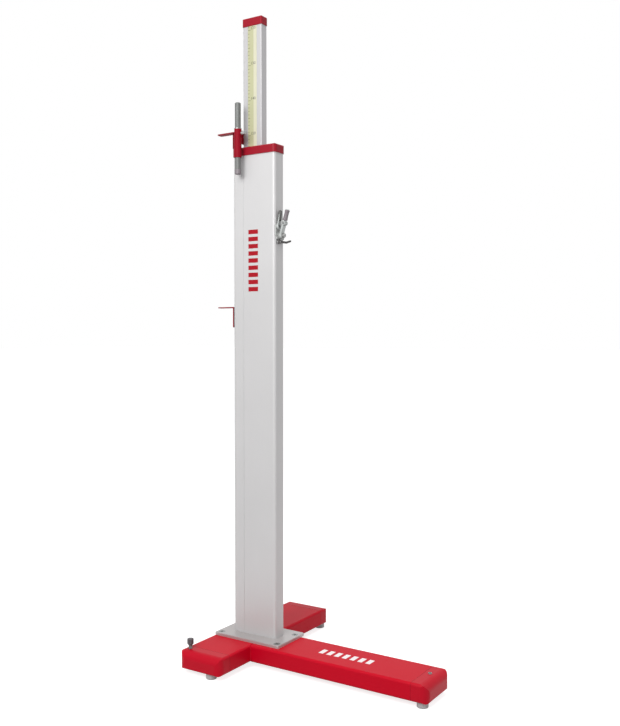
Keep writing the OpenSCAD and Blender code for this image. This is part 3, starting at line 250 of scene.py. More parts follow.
@dataclass(frozen=True)
class Finish:
    """One surface finish: colours, gloss, grain and how it wears."""

    name: str
    colour: Colour
    worn: Colour
    metallic: float = 0.0
    roughness: float = 0.4
    rough_swing: float = 0.08
    grain: Grain = Grain.EVEN
    grain_scale: float = 900.0
    grain_height: float = 0.01
    tone_swing: float = 0.06
    patch_scale: float = 9.0
    edge_amount: float = 0.5
    specular: float = 0.5

    PATCH_CONTRAST: ClassVar[float] = 2.2
    EDGE_GAIN: ClassVar[float] = 1.6
    STREAK_SHARE: ClassVar[float] = 0.6
    LEAST_ROUGHNESS: ClassVar[float] = 0.02
    BUMP_STRENGTH: ClassVar[float] = 0.35

    def material(self, groups: ShaderGroups) -> bpy.types.Material:
        """Build the material of this finish.

        Args:
            groups: the shared node groups.

        Returns:
            The new material.
        """
        made = bpy.data.materials.new(self.name)
        made.use_nodes = True
        tree = made.node_tree
        nodes, links = tree.nodes, tree.links
        shader = nodes["Principled BSDF"]
        shader.inputs["Metallic"].default_value = self.metallic
        shader.inputs["Specular IOR Level"].default_value = self.specular
        grain = self._place(tree, groups.grain)
        grain.inputs["Stretch"].default_value = self.grain.value
        grain.inputs["Scale"].default_value = self.grain_scale
        patches = self._place(tree, groups.patches)
        patches.inputs["Scale"].default_value = self.patch_scale
        patches.inputs["Contrast"].default_value = self.PATCH_CONTRAST
        edge = self._place(tree, groups.edge)
        edge.inputs["Amount"].default_value = self.edge_amount * self.EDGE_GAIN
        dark = self._shade(self.colour, 1.0 - self.tone_swing)
        light = self._shade(self.colour, 1.0 + self.tone_swing * 0.5)
        tone = self._mix(tree, dark, light, patches.outputs["Mask"])
        streak = self._mix(tree, None, self._shade(dark, 1.0 - self.tone_swing), None)
        links.new(tone.outputs["Result"], streak.inputs["A"])
        streak_amount = nodes.new("ShaderNodeMath")
        streak_amount.operation = "MULTIPLY"
        links.new(grain.outputs["Value"], streak_amount.inputs[0])
        streak_amount.inputs[1].default_value = self.STREAK_SHARE
        links.new(streak_amount.outputs[0], streak.inputs["Factor"])
        wear = self._mix(tree, None, self.worn, None)
        links.new(streak.outputs["Result"], wear.inputs["A"])
        links.new(edge.outputs["Mask"], wear.inputs["Factor"])
        links.new(wear.outputs["Result"], shader.inputs["Base Color"])
        rough = nodes.new("ShaderNodeMapRange")
        smoothest = max(self.LEAST_ROUGHNESS, self.roughness - self.rough_swing)
        rough.inputs["To Min"].default_value = smoothest
        rough.inputs["To Max"].default_value = self.roughness + self.rough_swing
        links.new(grain.outputs["Value"], rough.inputs["Value"])
        links.new(rough.outputs["Result"], shader.inputs["Roughness"])
        bump = nodes.new("ShaderNodeBump")
        bump.inputs["Strength"].default_value = self.BUMP_STRENGTH
        bump.inputs["Distance"].default_value = self.grain_height * MM
        links.new(grain.outputs["Value"], bump.inputs["Height"])
        links.new(bump.outputs["Normal"], shader.inputs["Normal"])
        return made

    @staticmethod
    def _shade(colour: Colour, factor: float) -> Colour:
        """Scale a colour and keep it within 1."""
        return tuple(min(1.0, channel * factor) for channel in colour)

    @staticmethod
    def _place(tree: bpy.types.NodeTree, group: bpy.types.NodeTree) -> bpy.types.Node:
        """Put a shared group into a material.

        Args:
            tree: the material's tree.
            group: the shared group.

        Returns:
            The group node.
        """
        node = tree.nodes.new("ShaderNodeGroup")
        node.node_tree = group
        return node

    @staticmethod
    def _mix(
        tree: bpy.types.NodeTree,
        first: Colour | None,
        second: Colour | None,
        factor: bpy.types.NodeSocket | None,
    ) -> ColourMix:
        """Mix two colours.

        Args:
            tree: the material's tree.
            first: the colour at factor 0, or None where it is linked later.
            second: the colour at factor 1, or None where it is linked later.
            factor: the socket that drives the mix, or None.

        Returns:
            The mix node with its sockets A, B, Factor and Result of the colour kind.
        """
        mix = ColourMix(tree)
        if first is not None:
            mix.inputs["A"].default_value = (*first, 1.0)
        if second is not None:
            mix.inputs["B"].default_value = (*second, 1.0)
        if factor is not None:
            tree.links.new(factor, mix.inputs["Factor"])
        return mix


def linear(red: int, green: int, blue: int) -> Colour:
    """Turn an 8-bit display colour into scene-linear values.

    Args:
        red: 0 to 255.
        green: 0 to 255.
        blue: 0 to 255.

    Returns:
        The linear colour.
    """

    def channel(value: int) -> float:
        """Undo the display curve of one channel."""
        part = value / 255.0
        return part / 12.92 if part <= 0.04045 else ((part + 0.055) / 1.055) ** 2.4

    return channel(red), channel(green), channel(blue)


RED_COAT = Finish(
    "red_powder_coat", linear(200, 0, 33), linear(160, 4, 26), roughness=0.46, rough_swing=0.05,
    grain_scale=700.0, grain_height=0.03, tone_swing=0.05, edge_amount=0.4, specular=0.12,
)
RED_BRACKET = Finish(
    "red_bracket_coat", linear(144, 8, 30), linear(116, 12, 28), roughness=0.5,
    rough_swing=0.05, grain_scale=900.0, grain_height=0.02, tone_swing=0.06, edge_amount=0.4,
    specular=0.1,
)
# Painted shade: a dark red film that stands in for the shadow in the gap where the moulded shoes
# meet the beams.
SEAM_SHADE = Finish(
    "red_shadow_gap", linear(96, 4, 20), linear(96, 4, 20), roughness=0.7, tone_swing=0.04,
    edge_amount=0.0, grain_height=0.002, specular=0.1,
)
RED_PLASTIC = Finish(
    "red_moulded_plastic", linear(194, 2, 34), linear(214, 40, 62), roughness=0.42,
    rough_swing=0.05, grain_scale=1400.0, grain_height=0.02, tone_swing=0.06, edge_amount=0.25,
    specular=0.15,
)
RED_CAP = Finish(
    "red_cap_plastic", linear(150, 8, 32), linear(176, 36, 54), roughness=0.44,
    rough_swing=0.05, grain_scale=1400.0, grain_height=0.02, tone_swing=0.06, edge_amount=0.2,
    specular=0.2,
)
COLUMN_METAL = Finish(
    "anodised_profile", linear(200, 199, 199), linear(214, 214, 216), metallic=0.3,
    roughness=0.52, rough_swing=0.06, grain=Grain.ALONG_Z, grain_scale=1500.0,
    grain_height=0.006, tone_swing=0.04, patch_scale=5.0, edge_amount=0.3,
)
MAST_METAL = Finish(
    "anodised_mast", linear(186, 185, 186), linear(212, 212, 214), metallic=0.35,
    roughness=0.44, rough_swing=0.06, grain=Grain.ALONG_Z, grain_scale=1700.0,
    grain_height=0.005, tone_swing=0.03, patch_scale=6.0, edge_amount=0.3,
)
DARK_METAL = Finish(
    "dark_anodised_block", linear(84, 66, 70), linear(150, 146, 146), metallic=0.4,
    roughness=0.46, grain=Grain.ALONG_Z, grain_scale=1500.0, grain_height=0.006,
    tone_swing=0.06, edge_amount=0.4,
)
PLATE_METAL = Finish(
    "milled_plate", linear(186, 181, 180), linear(220, 218, 216), metallic=0.4, roughness=0.42,
    grain=Grain.ALONG_X, grain_scale=1300.0, grain_height=0.008, tone_swing=0.05,
    edge_amount=0.5,
)
CAST_METAL = Finish(
    "cast_housing", linear(176, 178, 176), linear(214, 214, 212), metallic=0.55, roughness=0.5,
    grain_scale=2400.0, grain_height=0.04, tone_swing=0.08, edge_amount=0.5,
)
ZINC = Finish(
    "zinc_plated_steel", linear(150, 151, 150), linear(205, 205, 203), metallic=0.9,
    roughness=0.36, rough_swing=0.1, grain_scale=1800.0, grain_height=0.01, tone_swing=0.1,
    edge_amount=0.5,
)
BRIGHT_ROD = Finish(
    "drawn_rod", linear(112, 114, 112), linear(164, 164, 162), metallic=0.3, roughness=0.52,
    grain=Grain.ALONG_Z, grain_scale=2200.0, grain_height=0.006, tone_swing=0.08,
    edge_amount=0.4,
)
STEEL_KNOB = Finish(
    "turned_steel", linear(186, 188, 188), linear(224, 224, 222), metallic=0.8, roughness=0.34,
    rough_swing=0.08, grain_scale=2000.0, grain_height=0.008, tone_swing=0.06, edge_amount=0.5,
)
LEVER_STEEL = Finish(
    "nickelled_lever", linear(190, 194, 192), linear(228, 230, 228), metallic=0.35,
    roughness=0.42, rough_swing=0.08, grain_scale=1500.0, grain_height=0.01, tone_swing=0.07,
    edge_amount=0.4,
)
GREY_PLASTIC = Finish(
    "grey_moulded_plastic", linear(128, 119, 124), linear(168, 160, 164), roughness=0.44,
    grain_scale=2600.0, grain_height=0.03, tone_swing=0.1, edge_amount=0.3,
)
DARK_PLASTIC = Finish(
    "dark_moulded_plastic", linear(76, 76, 74), linear(120, 120, 116), roughness=0.46,
    grain_scale=2600.0, grain_height=0.03, tone_swing=0.1, edge_amount=0.3,
)
BLACK_PLASTIC = Finish(
    "black_moulded_plastic", linear(84, 78, 82), linear(122, 116, 120), roughness=0.48,
    grain_scale=2600.0, grain_height=0.03, tone_swing=0.12, edge_amount=0.3,
)
BLACK_STEEL = Finish(
    "black_lacquered_steel", linear(64, 60, 60), linear(140, 136, 132), roughness=0.4,
    grain_scale=1500.0, grain_height=0.02, tone_swing=0.12, edge_amount=0.8, metallic=0.3,
)
FOOT_GREY = Finish(
    "pale_foot_rubber", linear(188, 184, 184), linear(206, 202, 202), roughness=0.6,
    grain_scale=2600.0, grain_height=0.04, tone_swing=0.1, edge_amount=0.25, specular=0.3,
)
RUBBER = Finish(
    "grey_rubber", linear(92, 88, 90), linear(126, 122, 122), roughness=0.75,
    grain_scale=2600.0, grain_height=0.05, tone_swing=0.15, edge_amount=0.25, specular=0.3,
)
ACETAL = Finish(
    "white_acetal", linear(226, 224, 214), linear(240, 239, 232), roughness=0.42,
    grain_scale=1500.0, grain_height=0.01, tone_swing=0.04, edge_amount=0.2,
)
BRONZE = Finish(
    "sintered_bronze", linear(176, 132, 78), linear(214, 172, 112), metallic=0.9,
    roughness=0.42, grain_scale=2600.0, grain_height=0.03, tone_swing=0.1, edge_amount=0.4,
)
IRON = Finish(
    "raw_cast_iron", linear(58, 56, 56), linear(92, 88, 86), metallic=0.6, roughness=0.62,
    grain_scale=900.0, grain_height=0.2, tone_swing=0.2, edge_amount=0.4,
)
TAPE_FILM = Finish(
    "scale_film", linear(206, 204, 178), linear(206, 204, 178), roughness=0.34,
    grain_scale=1200.0, grain_height=0.004, tone_swing=0.03, edge_amount=0.0,
)
TAPE_BAND = Finish(
    "scale_band", linear(184, 184, 146), linear(184, 184, 146), roughness=0.36,
    grain_scale=1200.0, grain_height=0.004, tone_swing=0.04, edge_amount=0.0,
)
INK = Finish(
    "scale_ink", linear(56, 56, 50), linear(56, 56, 50), roughness=0.5, tone_swing=0.08,
    edge_amount=0.0, grain_height=0.002,
)
RED_FILM = Finish(
    "red_stripe_film", linear(166, 12, 30), linear(166, 12, 30), roughness=0.4, tone_swing=0.05,
    edge_amount=0.0, grain_height=0.003, specular=0.2,
)
WHITE_FILM = Finish(
    "white_stripe_film", linear(246, 238, 238), linear(246, 238, 238), roughness=0.34,
    tone_swing=0.03, edge_amount=0.0, grain_height=0.003,
)

NODE_FINISHES: dict[Finish, tuple[str, ...]] = {
    RED_COAT: ("cross_beam", "long_arm"),
    RED_BRACKET: ("mast_bracket", "upper_support", "lower_support"),
    RED_PLASTIC: ("beam_end_caps",),
    RED_CAP: ("column_cap", "mast_cap"),
    COLUMN_METAL: ("column",),
    DARK_METAL: ("slider_block",),
    MAST_METAL: ("mast",),
    PLATE_METAL: ("base_plate", "foot_block", "bearing_block"),
    CAST_METAL: ("lift_housing",),
    ZINC: (
        "ballast_bolts", "levelling_nuts", "plate_bolts", "plate_nuts", "foot_bolts",
        "column_screws", "housing_screws", "rack_screws", "bracket_screws",
        "upper_support_screws", "rod_clamp_screw", "slider_nut", "lower_support_screws",
        "slider_clamp_screw", "crank_shaft", "pinion", "crank_nut", "fold_pin", "brake_shaft",
        "lock_screw", "rack", "rod_ring", "arm_level_screw",
    ),
    STEEL_KNOB: ("rod_clamp_knob",),
    LEVER_STEEL: ("crank_arm", "knob_pin", "brake_lever"),
    GREY_PLASTIC: ("rod_tip", "crank_knob"),
    DARK_PLASTIC: ("brake_lever_grip",),
    BRIGHT_ROD: ("guide_rod",),
    BLACK_PLASTIC: ("front_level_screw",),
    BLACK_STEEL: ("lock_lever",),
    FOOT_GREY: ("fixed_feet", "front_foot", "arm_foot"),
    RUBBER: ("stop_buffer",),
    ACETAL: ("mast_guide", "mast_shoe"),
    BRONZE: ("shaft_bushes", "brake_plug"),
    IRON: ("ballast_bars",),
    TAPE_FILM: ("scale_tape",),
}


class Wardrobe:
    """Builds each finish once and puts it on nodes and pieces."""

    def __init__(self, nodes: dict[str, bpy.types.Object]) -> None:
        """Keep the frame's nodes and build the shared groups.

        Args:
            nodes: the CAD nodes by name.
        """
        self.nodes = nodes
        self.groups = ShaderGroups()
        self._made: dict[str, bpy.types.Material] = {}

    def material(self, finish: Finish) -> bpy.types.Material:
        """Return the material of a finish, building it the first time."""
        if finish.name not in self._made:
            self._made[finish.name] = finish.material(self.groups)
        return self._made[finish.name]

    def dress_nodes(self) -> None:
        """Give every CAD node its finish."""
        left = set(self.nodes)
        for finish, names in NODE_FINISHES.items():
            for name in names:
                self.put_on(self.nodes[name], finish)
                left.discard(name)
        if left:
            raise RuntimeError(f"nodes without a finish: {sorted(left)}")

    def put_on(self, piece: bpy.types.Object, finish: Finish) -> None:
        """Give a piece one finish all over."""
        slots = piece.data.materials
        if not slots:
            slots.append(None)
        for index in range(len(slots)):
            slots[index] = self.material(finish)


# ---------------------------------------------------------------- mesh helpers


class Shaper:
    """Makes finished pieces out of bmeshes."""

    def __init__(self, wardrobe: Wardrobe) -> None:
        """Keep the wardrobe that dresses the pieces."""
        self.wardrobe = wardrobe

    def piece(
        self, name: str, bm: bmesh.types.BMesh, finish: Finish, slot: Slot, body: Body
    ) -> bpy.types.Object:
        """Turn a bmesh into a piece that rides on a body.

        Args:
            name: the piece's name.
            bm: the mesh, freed afterwards.
            finish: its finish.
            slot: the record's material slot it stands for; not used.
            body: the body it rides on.

        Returns:
            The new object.
        """
        bmesh.ops.recalc_face_normals(bm, faces=bm.faces[:])
        mesh = bpy.data.meshes.new(name)
        bm.to_mesh(mesh)
        bm.free()
        made = bpy.data.objects.new(name, mesh)
        bpy.context.scene.collection.objects.link(made)
        self.wardrobe.put_on(made, finish)
        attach(made, body.value)
        LOG.info("%s: %d faces on %s", name, len(mesh.polygons), body.value)
        return made

    @staticmethod
    def slab(bm: bmesh.types.BMesh, low: Point, high: Point) -> None:
        """Add a slab between two corners.

        Args:
            bm: the mesh that gets it.
            low: its lowest corner.
            high: its highest corner.
        """
        size = [b - a for a, b in zip(low, high)]
        middle = [(a + b) / 2 for a, b in zip(low, high)]
        place = Matrix.Translation(middle) @ Matrix.Diagonal((*size, 1.0))
        bmesh.ops.create_cube(bm, size=1.0, matrix=place)

    @staticmethod
    def smooth(piece: bpy.types.Object) -> None:
        """Shade a piece smooth."""
        for face in piece.data.polygons:
            face.use_smooth = True


# ---------------------------------------------------------------- sub-assemblies


@dataclass
class HeightScale:
    """Printed scale on the front of the mast: a band, ticks and plain numbers."""

    shaper: Shaper
    read_at: float = 1.481
    support_top: float = 1.533
    band_share: float = 0.64
    band_inset: float = 0.8 * MM
    band_proud: float = 0.04 * MM
    lap: float = 0.02 * MM
    end_margin: float = 4.0 * MM
    ink: float = 0.06 * MM
    tick: float = 1.1 * MM
    tick_inset: float = 1.0 * MM
    digit: float = 11.5 * MM
    digit_shift: tuple[float, float] = (8.8 * MM, 1.8 * MM)
    marks_a_metre: int = 100
    join: float = 1e-6
    lengths: dict[int, float] = field(
        default_factory=lambda: {1: 4.5 * MM, 5: 6.5 * MM, 10: 8.5 * MM}
    )

    def build(self) -> None:
        """Make the band and the print."""
        low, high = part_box("scale_tape")
        band = bmesh.new()
        self.shaper.slab(
            band,
            (low.x + self.band_inset, low.y - self.band_proud, low.z),
            (low.x + (high.x - low.x) * self.band_share, low.y + self.lap, high.z),
        )
        self.shaper.piece("scale_band", band, TAPE_BAND, Slot.TAPE, Body.MAST)
        marks = bmesh.new()
        zero = self.read_at + self.support_top
        first = math.ceil((zero - high.z + self.end_margin) * self.marks_a_metre)
        last = math.floor((zero - low.z - self.end_margin) * self.marks_a_metre)
        for mark in range(first, last + 1):
            height = zero - mark / self.marks_a_metre
            self._mark(marks, mark, (low.x + self.tick_inset, low.y, height))
        bmesh.ops.remove_doubles(marks, verts=marks.verts[:], dist=self.join)
        self.shaper.piece("scale_print", marks, INK, Slot.TAPE, Body.MAST)

    def _mark(self, bm: bmesh.types.BMesh, value: int, at: Point) -> None:
        """Add one tick, with its number at every tenth.

        Args:
            bm: the mesh that gets it.
            value: the height in centimetres.
            at: the left end of the tick.
        """
        x, face, z = at
        step = next(size for size in (10, 5, 1) if value % size == 0)
        self.shaper.slab(
            bm,
            (x, face - self.ink - self.band_proud, z - self.tick / 2),
            (x + self.lengths[step], face - self.lap, z + self.tick / 2),
        )
        if step == 10:
            across, up = self.digit_shift
            self._number(bm, value, (x + across, face, z + up))

    def _number(self, bm: bmesh.types.BMesh, value: int, at: Point) -> None:
        """Add a printed number above its tick.

        Args:
            bm: the mesh that gets it.
            value: the height in centimetres.
            at: the left end of its foot.
        """
        curve = bpy.data.curves.new("digits", "FONT")
        curve.body = str(value)
        curve.size = self.digit
        curve.extrude = self.ink / 2
        curve.resolution_u = 2
        holder = bpy.data.objects.new("digits", curve)
        bpy.context.scene.collection.objects.link(holder)
        bpy.context.view_layer.update()
        graph = bpy.context.evaluated_depsgraph_get()
        mesh = bpy.data.meshes.new_from_object(holder.evaluated_get(graph))
        x, y, z = at
        upright = Matrix.Rotation(math.radians(90), 4, "X")
        mesh.transform(Matrix.Translation((x, y - self.ink, z)) @ upright)
        bm.from_mesh(mesh)
        bpy.data.meshes.remove(mesh)
        bpy.data.objects.remove(holder)
        bpy.data.curves.remove(curve)


@dataclass
class Stripes:
    """Plain stripes on the column's front and on the arm's top."""

    shaper: Shaper
    film: float = 0.12 * MM
    sunk: float = 0.02 * MM
    red_count: int = 9
    red_foot: float = 1.066
    red_pitch: float = 20.5 * MM
    red_height: float = 12.5 * MM
    red_sides: tuple[float, float] = (55.0 * MM, 89.0 * MM)
    white_count: int = 7
    white_start: float = 6.0 * MM
    white_pitch: float = 24.5 * MM
    white_width: float = 14.0 * MM
    white_length: float = 30.0 * MM

    def build(self) -> None:
        """Make both groups of stripes."""
        low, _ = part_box("column")
        left, right = self.red_sides
        red = bmesh.new()
        for index in range(self.red_count):
            foot = self.red_foot + self.red_pitch * index
            self.shaper.slab(
                red,
                (low.x + left, low.y - self.film, foot),
                (low.x + right, low.y + self.sunk, foot + self.red_height),
            )
        self.shaper.piece("column_stripes", red, RED_FILM, Slot.RED_PLASTIC, Body.BASE)
        arm_low, arm_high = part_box("long_arm")
        middle = (arm_low.y + arm_high.y) / 2
        half = self.white_length / 2
        white = bmesh.new()
        for index in range(self.white_count):
            start = self.white_start + self.white_pitch * index
            self.shaper.slab(
                white,
                (start, middle - half, arm_high.z - self.sunk),
                (start + self.white_width, middle + half, arm_high.z + self.film),
            )
        self.shaper.piece("arm_stripes", white, WHITE_FILM, Slot.TAPE, Body.BASE)


@dataclass
class Welds:
    """Rippled weld beads of the base frame and of the rod sleeve."""

    shaper: Shaper
    beam_bead: float = 2.6 * MM
    beam_span: tuple[float, float] = (21.5 * MM, 57.0 * MM)
    beam_inset: float = 10.0 * MM
    sleeve_bead: float = 1.3 * MM
    sleeve_span: tuple[float, float] = (1.4935, 1.5250)
    sleeve_spots: tuple[tuple[float, float], ...] = ((-0.26565, -0.0937), (-0.26165, -0.0908))
    sides: int = 10
    ripple: float = 0.10
    ripple_pitch: float = 2.1 * MM
    cuts_a_ripple: int = 3
    least_cuts: int = 8
    end_share: float = 0.35
    same: float = 1e-6

    def build(self) -> None:
        """Lay the beads."""
        low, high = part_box("long_arm")
        foot, top = self.beam_span
        joint = bmesh.new()
        for y in (low.y, high.y):
            self._bead(joint, Vector((low.x, y, foot)), Vector((low.x, y, top)), self.beam_bead)
        self._bead(
            joint,
            Vector((low.x, low.y + self.beam_inset, low.z)),
            Vector((low.x, high.y - self.beam_inset, low.z)),
            self.beam_bead,
        )
        beads = self.shaper.piece("frame_welds", joint, RED_COAT, Slot.RED_PAINT, Body.BASE)
        self.shaper.smooth(beads)
        foot, top = self.sleeve_span
        sleeve = bmesh.new()
        for x, y in self.sleeve_spots:
            self._bead(sleeve, Vector((x, y, foot)), Vector((x, y, top)), self.sleeve_bead)
        beads = self.shaper.piece("sleeve_welds", sleeve, RED_BRACKET, Slot.RED_PAINT, Body.MAST)
        self.shaper.smooth(beads)

    def _bead(self, bm: bmesh.types.BMesh, start: Vector, end: Vector, radius: float) -> None:
        """Lay one straight bead with ripples and tapered ends.

        Args:
            bm: the mesh that gets it. Its tagged vertices belong to earlier beads.
            start: one end.
            end: the other end.
            radius: its radius.
        """
        run = end - start
        bmesh.ops.create_cone(
            bm, cap_ends=True, cap_tris=True, segments=self.sides, radius1=radius,
            radius2=radius, depth=run.length,
        )
        fresh = [edge for edge in bm.edges if not edge.verts[0].tag]
        long_edges = [edge for edge in fresh if abs(edge.calc_length() - run.length) < self.same]
        ripples = round(run.length / self.ripple_pitch)
        cuts = max(self.least_cuts, ripples * self.cuts_a_ripple)
        bmesh.ops.subdivide_edges(bm, edges=long_edges, cuts=cuts, use_grid_fill=True)
        turn = run.to_track_quat("Z", "X").to_matrix().to_4x4()
        place = Matrix.Translation((start + end) / 2) @ turn
        for vert in bm.verts:
            if vert.tag:
                continue
            along = vert.co.z + run.length / 2
            nearest = min(along, run.length - along)
            fade = min(1.0, self.end_share + nearest / (2 * radius))
            wave = 1.0 + self.ripple * math.sin(2 * math.pi * along / self.ripple_pitch)
            vert.co.x *= fade * wave
            vert.co.y *= fade * wave
            vert.co = place @ vert.co
            vert.tag = True


@dataclass(frozen=True)
class Thread:
    """A screw thread: the screw's radius and the rise of one turn."""

    radius: float
    pitch: float


@dataclass
class Threads:
    """Screw threads where the screws stand free."""

    shaper: Shaper
    levelling: Thread = Thread(5.0 * MM, 1.5 * MM)
    levelling_foot: float = 56.0 * MM
    front_top: float = 73.6 * MM
    arm_top: float = 65.2 * MM
    clamp: Thread = Thread(2.5 * MM, 0.8 * MM)
    clamp_start: float = 1.0 * MM
    clamp_end: float = 0.4 * MM
    depth: float = 0.34 * MM
    bury: float = 0.1 * MM
    flank_share: float = 0.36
    lift_share: float = 0.4
    steps: int = 20

    def build(self) -> None:
        """Cut the threads."""
        for name, screw, body, top in (
            ("front_screw_thread", "front_level_screw", Body.FRONT_SCREW, self.front_top),
            ("arm_screw_thread", "arm_level_screw", Body.ARM_SCREW, self.arm_top),
        ):
            low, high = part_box(screw)
            middle = (low + high) / 2
            place = Matrix.Translation((middle.x, middle.y, self.levelling_foot))
            self._cut(name, place, self.levelling, top - self.levelling_foot, body)
        low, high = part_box("rod_clamp_screw")
        middle = (low + high) / 2
        _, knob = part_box("rod_clamp_knob")
        place = Matrix.Translation((knob.x - self.clamp_start, middle.y, middle.z))
        place = place @ Matrix.Rotation(math.pi / 2, 4, "Y")
        length = high.x - knob.x + self.clamp_end
        self._cut("clamp_screw_thread", place, self.clamp, length, Body.ROD_CLAMP)

    def _cut(self, name: str, place: Matrix, thread: Thread, length: float, body: Body) -> None:
        """Wind one thread ridge round a screw and finish it.

        Args:
            name: the piece's name.
            place: the screw's own frame, with its axis along Z.
            thread: the thread's sizes.
            length: the threaded length.
            body: the body it rides on.
        """
        pitch = thread.pitch
        foot = thread.radius - self.bury
        crest = thread.radius + self.depth
        flank = self.flank_share * pitch
        corners = ((foot, -flank), (crest, 0.0), (foot, flank))
        bm = bmesh.new()
        profile = bm.faces.new(
            [bm.verts.new((x, 0.0, z + self.lift_share * pitch)) for x, z in corners]
        )
        turns = (length - 2 * self.lift_share * pitch) / pitch
        count = math.ceil(turns * self.steps)
        bmesh.ops.spin(
            bm, geom=[profile, *profile.edges, *profile.verts], cent=(0.0, 0.0, 0.0),
            axis=(0.0, 0.0, 1.0), dvec=(0.0, 0.0, turns * pitch / count),
            angle=2 * math.pi * turns, steps=count, use_merge=False,
        )
        bmesh.ops.transform(bm, matrix=place, verts=bm.verts[:])
        self.shaper.smooth(self.shaper.piece(name, bm, ZINC, Slot.STEEL, body))


@dataclass
class Seams:
    """Dark hoops of painted shade where the moulded shoes meet the beams, standing in for the
    shadow in their gaps.
    """

    shaper: Shaper
    gap: float = 0.6 * MM
    proud: float = 0.05 * MM
    corner: float = 7.0 * MM
    corner_steps: int = 6
    skin: float = 0.3 * MM

    def build(self) -> None:
        """Make a hoop of painted shade at each beam end."""
        bm = bmesh.new()
        low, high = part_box("cross_beam")
        for y in (low.y, high.y):
            self._hoop(bm, (low.x, y, low.z), (high.x, y, high.z), 1)
        low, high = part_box("long_arm")
        self._hoop(bm, (high.x, low.y, low.z), (high.x, high.y, high.z), 0)
        # The hoops are painted shade, laid a hair proud of the beams.
        self.shaper.piece("shoe_seam_shades", bm, SEAM_SHADE, Slot.RED_PAINT, Body.BASE)

    def _hoop(self, bm: bmesh.types.BMesh, low: Point, high: Point, axis: int) -> None:
        """Make one hoop round a beam's outline.

        Args:
            bm: the mesh that gets it.
            low: the outline's lowest corner.
            high: the outline's highest corner.
            axis: 0 or 1 for the axis along the beam.
        """
        part = bmesh.new()
        out = [self.gap / 2 if i == axis else self.proud for i in range(3)]
        self.shaper.slab(
            part,
            tuple(value - grow for value, grow in zip(low, out)),
            tuple(value + grow for value, grow in zip(high, out)),
        )
        ends = [face for face in part.faces if abs(face.normal[axis]) > 0.5]
        bmesh.ops.delete(part, geom=ends, context="FACES_ONLY")
        along = [edge for edge in part.edges if self._runs(edge, axis)]
        bmesh.ops.bevel(
            part, geom=along, offset=self.corner, offset_type="OFFSET",
            segments=self.corner_steps, profile=0.5, affect="EDGES", material=-1,
        )
        bmesh.ops.solidify(part, geom=part.faces[:], thickness=self.skin)
        mesh = bpy.data.meshes.new("hoop")
        part.to_mesh(mesh)
        part.free()
        bm.from_mesh(mesh)
        bpy.data.meshes.remove(mesh)

    @staticmethod
    def _runs(edge: bmesh.types.BMEdge, axis: int) -> bool:
        """Tell whether an edge runs along an axis."""
        return abs((edge.verts[0].co - edge.verts[1].co).normalized()[axis]) > 0.5


# ---------------------------------------------------------------- studio


@dataclass(frozen=True)
class Lamp:
    """One soft area lamp: its place, the point it faces, its edge and its power in watts."""

    name: str
    at: Point
    to: Point
    size: float
    power: float

    def hang(self) -> None:
        """Add the lamp to the scene."""
        data = bpy.data.lights.new(self.name, "AREA")
        data.size = self.size
        data.energy = self.power
        lamp = bpy.data.objects.new(self.name, data)
        lamp.location = self.at
        aim = Vector(self.to) - Vector(self.at)
        lamp.rotation_euler = aim.to_track_quat("-Z", "Y").to_euler()
        bpy.context.scene.collection.objects.link(lamp)


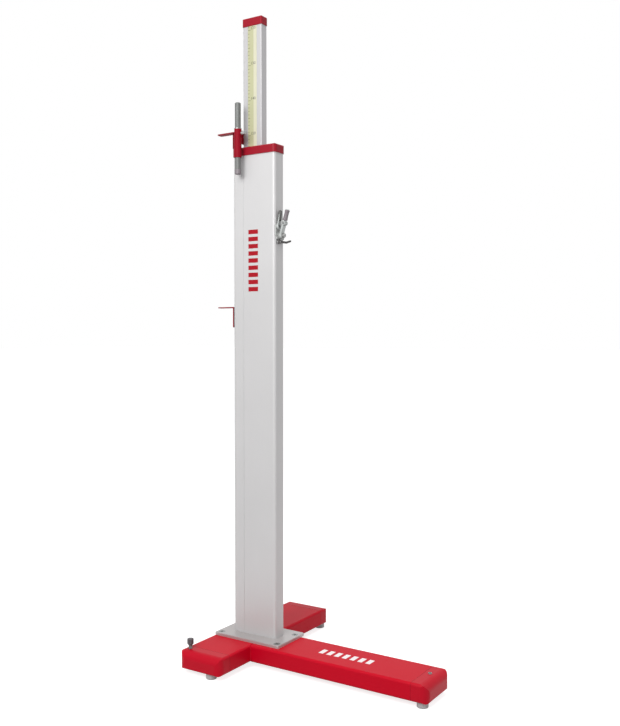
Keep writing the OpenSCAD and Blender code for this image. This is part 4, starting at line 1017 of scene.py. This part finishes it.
@dataclass
class Studio:
    """Camera, floor, backdrop and soft lamps."""

    eye: Point = (1.29126, -2.12455, 0.93306)
    tilt: float = 88.35
    turn: float = 32.78
    lens: float = 43.707
    sensor: float = 36.0
    white: Colour = (1.0, 1.0, 1.0)
    sky: Colour = (0.43, 0.43, 0.44)
    floor_grey: Colour = (0.50, 0.50, 0.50)
    floor_roughness: float = 0.9
    floor_specular: float = 0.1
    floor_glow: float = 0.80
    floor_size: float = 60.0
    lamps: tuple[Lamp, ...] = (
        Lamp("key", (0.0, -2.3, 2.35), (-0.2, 0.0, 1.4), 1.6, 59.0),
        Lamp("top", (0.35, 0.3, 4.2), (0.0, 0.0, 0.8), 2.6, 46.0),
        Lamp("fill", (3.4, -1.5, 1.6), (-0.2, 0.0, 0.9), 2.4, 13.5),
    )

    def build(self) -> None:
        """Set the whole studio up."""
        scene = bpy.context.scene
        scene.view_settings.view_transform = "Standard"
        self._camera(scene)
        self._world(scene)
        self._floor(scene)
        for lamp in self.lamps:
            lamp.hang()

    def _camera(self, scene: bpy.types.Scene) -> None:
        """Place the camera.

        Args:
            scene: the scene that looks through it.
        """
        data = bpy.data.cameras.new("camera")
        data.sensor_fit = "VERTICAL"
        data.sensor_height = self.sensor
        data.sensor_width = self.sensor
        data.lens = self.lens
        camera = bpy.data.objects.new("camera", data)
        camera.location = self.eye
        camera.rotation_euler = (math.radians(self.tilt), 0.0, math.radians(self.turn))
        scene.collection.objects.link(camera)
        scene.camera = camera

    @staticmethod
    def _seen(tree: bpy.types.NodeTree) -> bpy.types.NodeSocket:
        """Tell the rays that see the backdrop from those that only light.

        Args:
            tree: the node tree of the world or of the floor's paint.

        Returns:
            The socket that is 1 for camera, glossy and transmission rays.
        """
        path = tree.nodes.new("ShaderNodeLightPath")
        seen = path.outputs["Is Camera Ray"]
        for ray in ("Is Glossy Ray", "Is Transmission Ray"):
            either = tree.nodes.new("ShaderNodeMath")
            either.operation = "MAXIMUM"
            tree.links.new(seen, either.inputs[0])
            tree.links.new(path.outputs[ray], either.inputs[1])
            seen = either.outputs[0]
        return seen

    def _world(self, scene: bpy.types.Scene) -> None:
        """White where it is seen, a softer grey for the light it gives.

        Args:
            scene: the scene that gets the world.
        """
        world = bpy.data.worlds.new("studio")
        world.use_nodes = True
        scene.world = world
        tree = world.node_tree
        background = tree.nodes["Background"]
        background.inputs["Strength"].default_value = 1.0
        mix = ColourMix(tree)
        mix.inputs["A"].default_value = (*self.sky, 1.0)
        mix.inputs["B"].default_value = (*self.white, 1.0)
        tree.links.new(self._seen(tree), mix.inputs["Factor"])
        tree.links.new(mix.outputs["Result"], background.inputs["Color"])

    def _floor(self, scene: bpy.types.Scene) -> None:
        """A wide plain floor just under the feet, which keeps the shadow.

        Args:
            scene: the scene that gets the floor.
        """
        bm = bmesh.new()
        bmesh.ops.create_grid(bm, x_segments=1, y_segments=1, size=self.floor_size)
        mesh = bpy.data.meshes.new("floor")
        bm.to_mesh(mesh)
        bm.free()
        floor = bpy.data.objects.new("floor", mesh)
        scene.collection.objects.link(floor)
        paint = bpy.data.materials.new("floor_paint")
        paint.use_nodes = True
        tree = paint.node_tree
        shader = tree.nodes["Principled BSDF"]
        shader.inputs["Base Color"].default_value = (*self.floor_grey, 1.0)
        shader.inputs["Roughness"].default_value = self.floor_roughness
        shader.inputs["Specular IOR Level"].default_value = self.floor_specular
        shader.inputs["Emission Color"].default_value = (*self.white, 1.0)
        glow = tree.nodes.new("ShaderNodeMath")
        glow.operation = "MULTIPLY"
        tree.links.new(self._seen(tree), glow.inputs[0])
        glow.inputs[1].default_value = self.floor_glow
        tree.links.new(glow.outputs[0], shader.inputs["Emission Strength"])
        mesh.materials.append(paint)


def main() -> None:
    """Load the frame, dress it, add the fine pieces and set the studio up."""
    logging.basicConfig(level=logging.INFO, format="%(name)s: %(message)s")
    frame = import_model()
    Studio().build()
    wardrobe = Wardrobe(frame["nodes"])
    wardrobe.dress_nodes()
    shaper = Shaper(wardrobe)
    for assembly in (HeightScale, Stripes, Welds, Threads, Seams):
        assembly(shaper).build()
        LOG.info("%s done", assembly.__name__)


if __name__ == "__main__":
    main()
